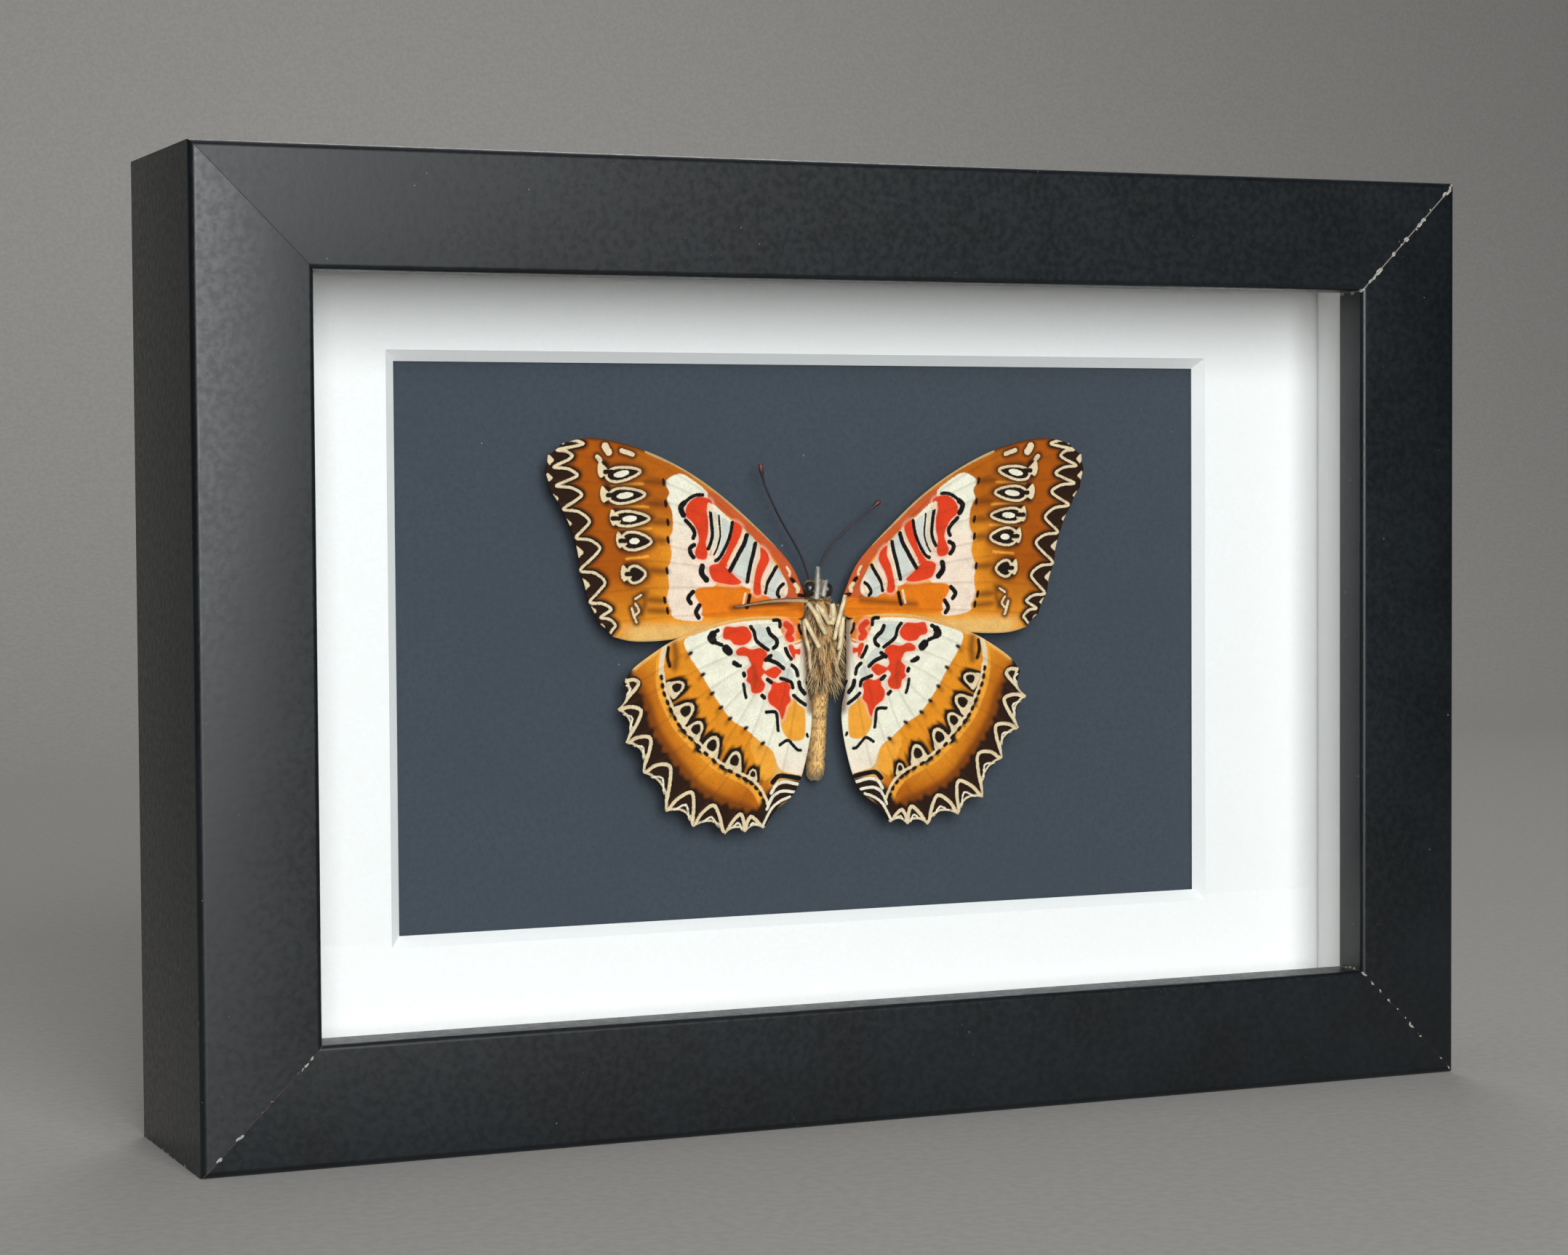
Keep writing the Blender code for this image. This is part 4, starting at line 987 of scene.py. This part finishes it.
LEGS = {
    "leg_left_fore": [
        [(-0.5, 15.2, 62.4, 0.24), (-1.2, 15.0, 63.6, 0.30), (-2.1, 14.9, 65.2, 0.28),
         (-3.1, 15.1, 66.6, 0.22)],
        [(-3.0, 15.2, 66.7, 0.24), (-4.2, 15.7, 66.9, 0.24), (-8.0, 16.6, 66.8, 0.17),
         (-12.8, 16.9, 66.1, 0.10)],
    ],
    "leg_left_middle": [
        [(0.0, 15.1, 63.7, 0.24), (-0.6, 14.8, 64.7, 0.32), (-1.3, 14.8, 65.7, 0.30),
         (-1.9, 15.0, 66.3, 0.24)],
        [(-1.9, 15.0, 66.3, 0.20), (-1.6, 14.9, 65.0, 0.20), (-0.9, 15.0, 63.4, 0.17)],
    ],
    "leg_left_hind": [
        [(-1.5, 15.0, 60.6, 0.24), (-2.2, 15.0, 62.0, 0.27), (-3.3, 15.7, 64.4, 0.26)],
        [(-3.3, 15.8, 64.3, 0.20), (-3.2, 15.9, 62.3, 0.22), (-2.7, 15.9, 60.6, 0.20),
         (-2.4, 16.1, 58.6, 0.19), (-2.0, 16.5, 56.6, 0.15)],
    ],
    "leg_right_fore": [
        [(0.3, 15.0, 63.6, 0.26), (0.6, 14.9, 64.8, 0.34), (0.4, 15.0, 66.4, 0.30)],
        [(0.4, 15.1, 66.4, 0.20), (0.2, 15.1, 65.4, 0.18), (0.1, 15.2, 64.4, 0.16)],
    ],
    "leg_right_middle": [
        [(0.7, 15.0, 61.6, 0.20), (1.0, 14.9, 63.0, 0.25), (1.4, 14.9, 64.5, 0.27),
         (2.0, 15.2, 66.0, 0.26), (2.6, 15.7, 67.4, 0.22)],
        [(2.5, 15.7, 67.2, 0.18), (1.8, 15.2, 65.0, 0.18), (1.4, 15.0, 61.6, 0.15)],
    ],
    "leg_right_hind": [
        [(1.4, 15.2, 60.2, 0.22), (1.8, 15.1, 62.2, 0.27), (2.1, 15.4, 64.6, 0.26)],
        [(2.2, 15.6, 64.5, 0.20), (2.2, 15.8, 62.0, 0.22), (1.7, 15.8, 59.6, 0.20),
         (1.3, 16.2, 57.4, 0.16)],
    ],
}

ANTENNAE = {
    "antenna_left": [
        (-1.7, 17.6, 69.2), (-2.4, 17.6, 71.4), (-3.6, 17.5, 73.8), (-6.1, 17.3, 77.8),
        (-7.9, 17.1, 81.2), (-8.5, 17.1, 82.9), (-8.9, 17.1, 84.9),
    ],
    "antenna_right": [
        (-0.5, 17.6, 69.2), (0.1, 17.5, 72.0), (1.7, 17.4, 74.3), (4.3, 17.2, 76.7),
        (6.3, 17.1, 78.2), (7.3, 17.1, 79.0), (8.4, 17.0, 79.9),
    ],
}

PALPS = {
    "palp_left": [(-1.45, 16.0, 67.0), (-1.40, 15.7, 68.6), (-1.40, 15.6, 69.9), (-1.35, 15.6, 71.3)],
    "palp_right": [(-0.50, 15.9, 67.4), (-0.45, 15.6, 68.5), (-0.30, 15.5, 69.4)],
}


def metres(spot):
    """Turn (x, depth, height) in millimetres into a point in the frame."""
    return np.array([spot[0] * MM, FRONT_Y + spot[1] * MM, FOOT_Z + spot[2] * MM])


class Growth:
    """Collects tubes, balls and hairs, with a tone for each vertex, into one mesh."""

    def __init__(self):
        self.points = []
        self.faces = []
        self.tones = []

    def ring(self, centre, along, radius, sides, tone, edge=0.0):
        """Add one ring of points square to a direction, its tone carrying painted shade from one side to
        the other.
        """
        along = along / max(np.linalg.norm(along), 1e-12)
        side = np.cross(along, (0.0, 1.0, 0.0))
        if np.linalg.norm(side) < 0.1:
            side = np.cross(along, (1.0, 0.0, 0.0))
        side /= np.linalg.norm(side)
        front = np.cross(side, along)
        start = len(self.points)
        for step in range(sides):
            angle = 2 * math.pi * step / sides
            spot = side * math.cos(angle) + front * math.sin(angle)
            self.points.append(centre + spot * radius)
            self.tones.append(min(1.0, max(0.0, tone + edge * math.cos(angle))))
        return start

    def tube(self, centres, radii, tones, sides=8, edge=0.0):
        """Add a closed tube through centres."""
        centres = [np.array(c) for c in centres]
        starts = []
        for i, centre in enumerate(centres):
            along = centres[min(i + 1, len(centres) - 1)] - centres[max(i - 1, 0)]
            starts.append(self.ring(centre, along, radii[i], sides, tones[i], edge))
        self.skin(starts, sides)

    def skin(self, starts, sides, turned=False):
        """Join rings of points into a closed surface; turned, its faces run the other way round."""
        for a, b in zip(starts, starts[1:]):
            for k in range(sides):
                n = (k + 1) % sides
                face = (a + k, a + n, b + n, b + k)
                self.faces.append(face[:1] + face[:0:-1] if turned else face)
        first = tuple(starts[0] + k for k in range(sides))
        last = tuple(starts[-1] + k for k in range(sides))
        self.faces.append(first if turned else first[::-1])
        self.faces.append(last[::-1] if turned else last)

    def hair(self, root, heading, length, radius, tone, droop):
        """Add one tapering hair that bends towards the ground."""
        heading = heading / np.linalg.norm(heading)
        fall = np.array([0.0, 0.0, -droop])
        spots, radii, tones = [], [], []
        for step in range(4):
            t = step / 3
            spots.append(root + (heading * t + fall * t * t) * length)
            radii.append(radius * (1.0 - 0.85 * t))
            tones.append(min(1.0, tone * (0.7 + 0.45 * t)))
        self.tube(spots, radii, tones, sides=3)

    def ball(self, centre, radii, tone, rings=10, sides=16):
        """Add an ellipsoid."""
        centre = np.array(centre)
        starts = []
        for i in range(rings + 1):
            lean = math.pi * (i + 0.02) / (rings + 0.04)
            start = len(self.points)
            for step in range(sides):
                angle = 2 * math.pi * step / sides
                across = math.sin(lean)
                unit = np.array([across * math.cos(angle), across * math.sin(angle), math.cos(lean)])
                self.points.append(centre + unit * np.array(radii))
                self.tones.append(tone)
            starts.append(start)
        self.skin(starts, sides, turned=True)

    def finish(self, name, materials, slot, replaces=None):
        """Make the piece."""
        data = bpy.data.meshes.new(name)
        data.from_pydata([tuple(p) for p in self.points], [], self.faces)
        data.update()
        tone = data.attributes.new("tone", "FLOAT", "POINT")
        tone.data.foreach_set("value", np.array(self.tones, dtype=np.float32))
        data.shade_smooth()
        return link_mesh(name, data, materials, replaces)


def grow_shell():
    """Make the body: a ringed abdomen, a broad thorax and a small head."""
    growth = Growth()
    sides = 32
    starts = []
    for x, depth, z, radius in smooth_line(BODY_LINE, 8):
        groove = 0.0
        if FIRST_GROOVE + 0.2 < z < WAIST - 0.4:
            groove = max(0.0, math.cos(2 * math.pi * (z - FIRST_GROOVE) / SEGMENT)) ** 6
        starts.append(len(growth.points))
        for step in range(sides):
            angle = 2 * math.pi * step / sides
            swell = 1.0 - 0.07 * groove
            if WAIST < z < NECK:
                swell += 0.06 * math.cos(4 * angle) + 0.04 * math.sin(z * 2.1) * math.sin(angle * 3)
            reach = radius * swell
            spot = (x + reach * math.cos(angle), depth - reach * math.sin(angle) * FLATTENED, z)
            growth.points.append(metres(spot))
            # Painted shade: the abdomen is lighter on its front right and darker on its back left and in
            # each groove. The thorax is lighter towards the front than towards the back.
            if z < WAIST:
                tone = 0.66 + 0.40 * math.cos(angle - 0.7) - 0.35 * groove
            else:
                tone = 0.22 + 0.16 * math.sin(angle)
            growth.tones.append(min(1.0, max(0.0, tone)))
    growth.skin(starts, sides, turned=True)
    return growth


def grow_coat(settings):
    """Make the body's coat: combed down the body, long beside the wing roots, tufted at the head."""
    growth = Growth()
    rng = np.random.default_rng(SEED)
    rows = smooth_line(BODY_LINE, 3)
    for _ in range(settings.hair_count):
        pick = rng.random() * (len(rows) - 1.001)
        index = int(pick)
        share = pick - index
        x, depth, z, radius = (a + (b - a) * share for a, b in zip(rows[index], rows[index + 1]))
        angle = rng.uniform(-0.5, math.pi + 0.5)
        outward = np.array([math.cos(angle), -math.sin(angle), 0.0])
        root = metres((x + radius * outward[0], depth + radius * outward[1] * FLATTENED, z))
        sideways = abs(math.cos(angle))
        if z < WAIST:
            length, lift, tone = rng.uniform(0.25, 0.45), 0.35, rng.uniform(0.30, 0.75)
            comb = -1.0
        elif z < NECK:
            length, lift = rng.uniform(0.7, 1.5) * (1 + 0.7 * sideways ** 3), 0.45
            lock = math.sin(8.0 * angle + 2.0 * math.sin(0.8 * z)) + rng.uniform(-0.6, 0.6)
            tone = 0.95 if lock > -0.45 else 0.1
            comb = -0.9
        else:
            length, lift, tone = rng.uniform(0.3, 0.6), 0.9, rng.uniform(0.0, 0.5)
            comb = 0.5
        heading = outward * lift + np.array([rng.normal() * 0.18, rng.normal() * 0.12, comb])
        thick = rng.uniform(0.04, 0.06) if z < WAIST else rng.uniform(0.06, 0.12)
        growth.hair(root, heading, length * MM, thick * MM, tone, 0.12)
    for side in (-1, 1):
        for _ in range(settings.hair_count // 16):
            z = rng.uniform(56.0, 66.5)
            root = metres((side * 1.8 + 0.1, 17.0 + rng.normal() * 0.5, z))
            heading = np.array([
                side * rng.uniform(0.2, 0.7), rng.normal() * 0.2 - 0.2, -rng.uniform(0.6, 1.0)])
            tone = rng.choice((0.1, 0.9, 0.9))
            growth.hair(root, heading, rng.uniform(1.0, 2.0) * MM, 0.08 * MM, tone, 0.15)
    return growth


def grow_leg(parts, seed):
    """Make one folded leg: tapered joints with knobbed ends and short spines."""
    growth = Growth()
    rng = np.random.default_rng(seed)
    for part in parts:
        line = smooth_line(part, 5)
        spots = [metres(p) for p in line]
        radii = [1.25 * p[3] * MM for p in line]
        tones = [0.74 + 0.18 * math.sin(0.9 * i) for i in range(len(line))]
        # The one joint that reaches out over the forewing darkens towards its tip.
        if part[-1][0] < -10.0:
            tones = [0.45 - 0.4 * i / len(line) for i in range(len(line))]
        # Each joint carries painted shade (edge), darker along one side than the other.
        growth.tube([spots[0]] + spots + [spots[-1]],
                    [radii[0] * 0.4] + radii + [radii[-1] * 0.4],
                    [tones[0]] + tones + [tones[-1]], sides=10, edge=0.38)
        for start, end in zip(spots[1:-1], spots[2:]):
            for share in (0.2, 0.7):
                root = start + (end - start) * share
                run = (end - start) / np.linalg.norm(end - start)
                across = np.cross(run, (0.0, -1.0, 0.0)) * rng.choice((-1.0, 1.0))
                heading = run * 0.8 + across * 0.6 + np.array([0.0, -0.3, 0.0])
                growth.hair(root, heading, rng.uniform(0.35, 0.6) * MM, 0.03 * MM, 0.35, 0.0)
    return growth


def grow_antenna(path):
    """Make one antenna: a fine ringed stalk that thickens into a reddish club."""
    growth = Growth()
    line = smooth_line(path, 10)
    radii, tones = [], []
    for i in range(len(line)):
        t = i / (len(line) - 1)
        # The club swells round a point just short of the tip.
        club = math.exp(-((t - 0.93) / 0.06) ** 2)
        radii.append((0.14 + 0.012 * (i % 2) + 0.22 * club) * MM)
        tones.append(0.04 + 0.85 * max(0.0, (t - 0.86) / 0.14))
    radii[-1] *= 0.4
    growth.tube([metres(p) for p in line], radii, tones, sides=8)
    return growth


def grow_palp(path, seed):
    """Make one palp: a tapering spike fringed with short grey-white hairs."""
    growth = Growth()
    rng = np.random.default_rng(seed)
    line = smooth_line(path, 6)
    spots = [metres(p) for p in line]
    radii = [(0.30 - 0.24 * i / len(line)) * MM for i in range(len(line))]
    growth.tube(spots, radii, [0.8] * len(line), sides=8)
    for spot, radius in zip(spots[:-2], radii):
        for _ in range(16):
            angle = rng.uniform(0, 2 * math.pi)
            outward = np.array([math.cos(angle), math.sin(angle), 0.0])
            heading = outward * 0.8 + np.array([0.0, 0.0, 1.0])
            growth.hair(spot + outward * radius * 0.8, heading, rng.uniform(0.25, 0.55) * MM,
                        0.03 * MM, rng.uniform(0.5, 1.0), 0.0)
    return growth


# ------------------------------------------------------------------- frame


def rail_profile(settings, steps=8):
    """Return the moulding's section as (depth, inset) points, its outer edges rounded."""
    corners = [
        ((0.0, 0.0), settings.outer_round), ((0.0, FACE_WIDTH), settings.sight_round),
        ((LIP_DEPTH, FACE_WIDTH), 0.0), ((LIP_DEPTH, REBATE_WALL), 0.0),
        ((FRAME_DEPTH, REBATE_WALL), 0.0), ((FRAME_DEPTH, 0.0), settings.back_round),
    ]
    points = []
    for number, (corner, radius) in enumerate(corners):
        if radius == 0.0:
            points.append(Vector(corner))
            continue
        here = Vector(corner)
        into = (Vector(corners[number - 1][0]) - here).normalized() * radius
        out = (Vector(corners[(number + 1) % len(corners)][0]) - here).normalized() * radius
        for step in range(steps + 1):
            angle = math.pi / 2 * step / steps
            points.append(here + into + out - out * math.cos(angle) - into * math.sin(angle))
    return points


def build_rail(settings, name, length, middle, turn, foil, raw):
    """Sweep the moulding, mitre its ends and leave its rebate and back unfoiled."""
    shape = bmesh.new()
    joint = settings.mitre_gap / math.sqrt(2)
    ends = []
    for side in (-1, 1):
        ends.append([
            shape.verts.new((side * (length / 2 - inset - joint), FRONT_Y + depth, inset))
            for depth, inset in rail_profile(settings)])
        shape.faces.new(ends[-1])
    near, far = ends
    for a, b, c, d in zip(near, near[1:] + near[:1], far[1:] + far[:1], far):
        shape.faces.new((a, b, c, d))
    bmesh.ops.recalc_face_normals(shape, faces=shape.faces)
    back = FRONT_Y + FRAME_DEPTH - 0.2 * MM
    lip = FRONT_Y + LIP_DEPTH - 0.2 * MM
    for face in shape.faces:
        face.smooth = True
        centre = face.calc_center_median()
        cut_end = abs(face.normal.x) > 0.5
        rebate = centre.y > lip and (face.normal.z > 0.5 or face.normal.y > 0.9)
        if cut_end or rebate or centre.y > back:
            face.material_index = 1
    bmesh.ops.transform(shape, matrix=Matrix.Rotation(turn, 4, "Y"), verts=shape.verts)
    bmesh.ops.translate(shape, vec=middle, verts=shape.verts)
    data = bpy.data.meshes.new(name + "_foiled")
    shape.to_mesh(data)
    shape.free()
    data.set_sharp_from_angle(angle=math.radians(35))
    return link_mesh(name + "_foiled", data, [foil, raw], [name])


# --------------------------------------------------------------- settings


def length_property(name, text, value):
    """Return a length setting."""
    return bpy.props.FloatProperty(name=name, description=text, default=value, min=0.0, unit="LENGTH")


def colour_property(name, text, code):
    """Return a colour setting from its sRGB hex code."""
    return bpy.props.FloatVectorProperty(
        name=name, description=text, default=linear(code), size=3, subtype="COLOR", min=0.0, max=1.0)


class SpecimenSettings(bpy.types.PropertyGroup):
    """Sizes and colours of the framed specimen."""

    outer_round: length_property("Outer rounding", "Radius of the frame's outer front edge", 0.9 * MM)
    sight_round: length_property("Sight rounding", "Radius of the frame's inner front edge", 0.7 * MM)
    back_round: length_property("Back rounding", "Radius of the frame's outer back edge", 0.5 * MM)
    mitre_gap: length_property("Mitre gap", "Gap left between two mitred rails", 0.06 * MM)
    chip_width: length_property("Chip width", "Half width of the worn foil along a mitre", 0.35 * MM)
    scale_spacing: length_property("Scale spacing", "Spacing of the wing sheet's points", 0.17 * MM)
    wing_thickness: length_property("Wing thickness", "Thickness of a wing", 0.12 * MM)
    hair_count: bpy.props.IntProperty(
        name="Hair count", description="Hairs in the body's coat", default=3200, min=0)
    toast: colour_property("Toast", "Dark ground colour of the wings", "#a85203")
    amber: colour_property("Amber", "Light ground colour of the wings", "#ec9420")
    peach: colour_property("Peach", "Pale edge of the wings", "#e8b568")
    tomato: colour_property("Tomato", "Brick-red strip along the forewing's front edge", "#c8582a")
    gold: colour_property("Gold", "Golden patch at the hindwing's inner edge", "#f0a236")
    orange: colour_property("Orange", "Orange basal patches", "#e87a12")
    red: colour_property("Red", "Red patches", "#e03e1b")
    pale: colour_property("Pale", "Blue-white patches", "#d0d2c8")
    umber: colour_property("Umber", "Dark wing border", "#241004")
    brown: colour_property("Brown", "Outlines of rings and lacing", "#170a03")
    black: colour_property("Black", "Black marks", "#060303")
    cream: colour_property("Cream", "Lacing and rings", "#e6cfa8")


# --------------------------------------------------------------- operators


class SpecimenOperator:
    """Shared behaviour of the specimen's build steps."""

    bl_options = {"REGISTER", "UNDO"}

    def execute(self, context):
        """Build the pieces; a failure raises and stops the run."""
        self.build(context, context.scene.specimen)
        return {"FINISHED"}


class SPECIMEN_OT_rails(SpecimenOperator, bpy.types.Operator):
    """Build the four foiled and mitred rails"""

    bl_idname = "specimen.rails"
    bl_label = "Frame rails"

    def build(self, context, settings):
        """Build each rail in its place."""
        foil = black_foil(settings)
        raw = raw_fibreboard()
        half = FRAME_WIDTH / 2
        middle = FOOT_Z + FRAME_HEIGHT / 2
        quarter = math.pi / 2
        for side, length, spot, turn in (
                ("bottom", FRAME_WIDTH, (0, 0, FOOT_Z), 0.0),
                ("top", FRAME_WIDTH, (0, 0, FOOT_Z + FRAME_HEIGHT), math.pi),
                ("left", FRAME_HEIGHT, (-half, 0, middle), quarter),
                ("right", FRAME_HEIGHT, (half, 0, middle), -quarter)):
            build_rail(settings, "frame_rail_" + side, length, spot, turn, foil, raw)


class SPECIMEN_OT_sheets(SpecimenOperator, bpy.types.Operator):
    """Finish the glass, spacers, mat and card"""

    bl_idname = "specimen.sheets"
    bl_label = "Glass, spacers, mat and card"

    def build(self, context, settings):
        """Give each sheet its own finish."""
        finish_node("glass_pane", picture_glass())
        white = paper_board("white_mat_board", "#f7f7f7", "#f3f3f2", 0.35 * MM, "#f7f7f7")
        finish_node("mat_board", white)
        for side in ("top", "bottom", "left", "right"):
            finish_node("spacer_" + side, white)
        finish_node("mount_card", paper_board("slate_card", "#3d444d", "#363d46", 0.7 * MM, "#a9adb3"))


class SPECIMEN_OT_back(SpecimenOperator, bpy.types.Operator):
    """Finish the back board, retaining points and hanger"""

    bl_idname = "specimen.back"
    bl_label = "Back board and fittings"

    def build(self, context, settings):
        """Give the board and the steel fittings their finishes."""
        finish_node("backing_board", hardboard())
        steel = zinc_plated_steel()
        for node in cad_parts:
            if node.startswith(("retaining_tab", "hanger")):
                finish_node(node, steel)


class SPECIMEN_OT_wings(SpecimenOperator, bpy.types.Operator):
    """Build the four wings with their scales, marks and veins"""

    bl_idname = "specimen.wings"
    bl_label = "Wings"

    def build(self, context, settings):
        """Build the forewings, then the hindwings in front of them."""
        scales = wing_scales(settings)
        plain = strands_by_tone("upper_side_scales", "#8a3208", "#c8561a", 0.7)
        for wing in (Forewing(), Hindwing()):
            for side, sign in (("left", -1), ("right", 1)):
                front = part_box(wing.name + "_" + side)[0][1]
                build_wing(settings, wing, side, sign, front, scales, plain)


class SPECIMEN_OT_body(SpecimenOperator, bpy.types.Operator):
    """Build the body, its coat of hair and its eyes"""

    bl_idname = "specimen.body"
    bl_label = "Body, coat and eyes"

    def build(self, context, settings):
        """Build the body in straw and brown, its brown partly painted shade, then coat it."""
        cuticle = strands_by_tone("straw_cuticle", "#7a4416", "#ffcb7c", 0.6)
        coat = strands_by_tone("straw_hair", "#3d230c", "#fbdca6", 0.65)
        grow_shell().finish("body_shell", [cuticle], "body_hair", ["butterfly_body"])
        grow_coat(settings).finish("body_coat", [coat], "body_hair")
        eyes = Growth()
        for spot in ((-2.05, 16.8, 68.30), (0.45, 16.8, 68.15)):
            eyes.ball(metres(spot), (0.78 * MM, 0.75 * MM, 0.98 * MM), 0.5)
        eyes.finish("compound_eyes", [eye_lacquer()], "antenna_chitin")


class SPECIMEN_OT_limbs(SpecimenOperator, bpy.types.Operator):
    """Build the six folded legs, the antennae and the palps"""

    bl_idname = "specimen.limbs"
    bl_label = "Legs, antennae and palps"

    def build(self, context, settings):
        """Build every limb from its line."""
        straw = strands_by_tone("straw_chitin", "#6a3010", "#f6e2b4", 0.5)
        for number, (name, parts) in enumerate(LEGS.items()):
            grow_leg(parts, SEED + number).finish(name + "_jointed", [straw], "leg_chitin", [name])
        dark = strands_by_tone("antenna_chitin", "#0d0a0c", "#6e2a20", 0.45)
        for name, path in ANTENNAE.items():
            grow_antenna(path).finish(name + "_ringed", [dark], "antenna_chitin", [name])
        grey = strands_by_tone("palp_hair", "#7d7468", "#e4e0d8", 0.7)
        for number, (name, path) in enumerate(PALPS.items()):
            grow_palp(path, SEED + 30 + number).finish(name + "_haired", [grey], "leg_chitin", [name])


class SPECIMEN_OT_stage(SpecimenOperator, bpy.types.Operator):
    """Set the paper sweep, the lamps and the camera"""

    bl_idname = "specimen.stage"
    bl_label = "Studio"

    def build(self, context, settings):
        """Build the sweep, light it and place the camera."""
        build_sweep()
        build_lamps(context)
        build_camera(context)


def build_sweep():
    """Make a floor that curves up into a backdrop."""
    half_width, front, back, radius, top = 1.5, -0.2, 0.9, 0.35, 1.6
    profile = [(front, 0.0), (back - radius, 0.0)]
    for step in range(1, 13):
        angle = math.pi / 2 * step / 12
        profile.append((back - radius + radius * math.sin(angle), radius - radius * math.cos(angle)))
    profile.append((back, top))
    shape = bmesh.new()
    rows = []
    for x in (-half_width, half_width):
        rows.append([shape.verts.new((x, y, FOOT_Z + z)) for y, z in profile])
    for a, b, c, d in zip(rows[0], rows[0][1:], rows[1][1:], rows[1]):
        face = shape.faces.new((a, d, c, b))
        face.smooth = True
    data = bpy.data.meshes.new("paper_sweep")
    shape.to_mesh(data)
    shape.free()
    data.materials.append(studio_paper())
    sweep = bpy.data.objects.new("paper_sweep", data)
    bpy.context.scene.collection.objects.link(sweep)


def add_lamp(name, spot, target, size, power, colour):
    """Add a square soft lamp that faces a target."""
    data = bpy.data.lights.new(name, "AREA")
    data.shape = "RECTANGLE"
    data.size, data.size_y = size
    data.energy = power
    data.color = colour
    lamp = bpy.data.objects.new(name, data)
    lamp.location = spot
    lamp.rotation_euler = (Vector(target) - Vector(spot)).to_track_quat("-Z", "Y").to_euler()
    bpy.context.scene.collection.objects.link(lamp)


def build_lamps(context):
    """Light the case softly from the front left, from above and, faintly, from behind."""
    target = (0.0, 0.0, FOOT_Z + FRAME_HEIGHT / 2)
    add_lamp("key_softbox", (-0.17, -0.96, 0.355), target, (0.58, 0.66), 13.7, (0.978, 0.995, 1.0))
    add_lamp("top_softbox", (0.0, 0.15, 1.30), (0.0, 0.15, 0.0), (1.1, 1.1), 2.4, (1.0, 1.0, 1.0))
    add_lamp("back_softbox", (0.30, 0.70, 0.80), target, (0.4, 0.4), 2.2, (1.0, 1.0, 1.0))
    world = bpy.data.worlds.new("studio_fill")
    world.use_nodes = True
    world.node_tree.nodes["Background"].inputs["Color"].default_value = (0.78, 0.91, 1.0, 1.0)
    world.node_tree.nodes["Background"].inputs["Strength"].default_value = 0.06
    context.scene.world = world
    context.scene.view_settings.view_transform = "Standard"


def build_camera(context):
    """Place the camera to the left of the case, turned back towards it."""
    yaw, pitch, roll = math.radians(23.305), math.radians(-2.273), math.radians(-0.358)
    forward = Vector((math.sin(yaw) * math.cos(pitch), math.cos(yaw) * math.cos(pitch), math.sin(pitch)))
    level = Vector((math.cos(yaw), -math.sin(yaw), 0.0))
    upright = level.cross(forward)
    right = level * math.cos(roll) + upright * math.sin(roll)
    up = upright * math.cos(roll) - level * math.sin(roll)
    data = bpy.data.cameras.new("camera")
    data.sensor_width = 36.0
    data.lens = 78.45
    data.clip_start = 0.01
    camera = bpy.data.objects.new("camera", data)
    place_at = Vector((-0.1837, FRONT_Y - 0.3970, FOOT_Z + 0.08115))
    axes = Matrix((right, up, -forward)).transposed().to_4x4()
    camera.matrix_world = Matrix.Translation(place_at) @ axes
    context.scene.collection.objects.link(camera)
    context.scene.camera = camera


STEPS = (
    SPECIMEN_OT_rails,
    SPECIMEN_OT_sheets,
    SPECIMEN_OT_back,
    SPECIMEN_OT_wings,
    SPECIMEN_OT_body,
    SPECIMEN_OT_limbs,
    SPECIMEN_OT_stage,
)


class SPECIMEN_PT_build(bpy.types.Panel):
    """Sidebar panel that lists the specimen's build steps"""

    bl_idname = "SPECIMEN_PT_build"
    bl_label = "Framed specimen"
    bl_space_type = "VIEW_3D"
    bl_region_type = "UI"
    bl_category = "Specimen"

    def draw(self, context):
        """Draw the settings and one button for each step."""
        settings = context.scene.specimen
        for key in SpecimenSettings.__annotations__:
            self.layout.prop(settings, key)
        for step in STEPS:
            self.layout.operator(step.bl_idname)


CLASSES = (SpecimenSettings, *STEPS, SPECIMEN_PT_build)


def register():
    """Register the classes and attach the settings to the scene."""
    for item in CLASSES:
        bpy.utils.register_class(item)
    bpy.types.Scene.specimen = bpy.props.PointerProperty(type=SpecimenSettings)


def unregister():
    """Detach the settings and unregister the classes."""
    del bpy.types.Scene.specimen
    for item in reversed(CLASSES):
        bpy.utils.unregister_class(item)


def main():
    """Build every piece in order."""
    register()
    bpy.ops.specimen.rails()
    bpy.ops.specimen.sheets()
    bpy.ops.specimen.back()
    bpy.ops.specimen.wings()
    bpy.ops.specimen.body()
    bpy.ops.specimen.limbs()
    bpy.ops.specimen.stage()


if __name__ == "__main__":
    main()
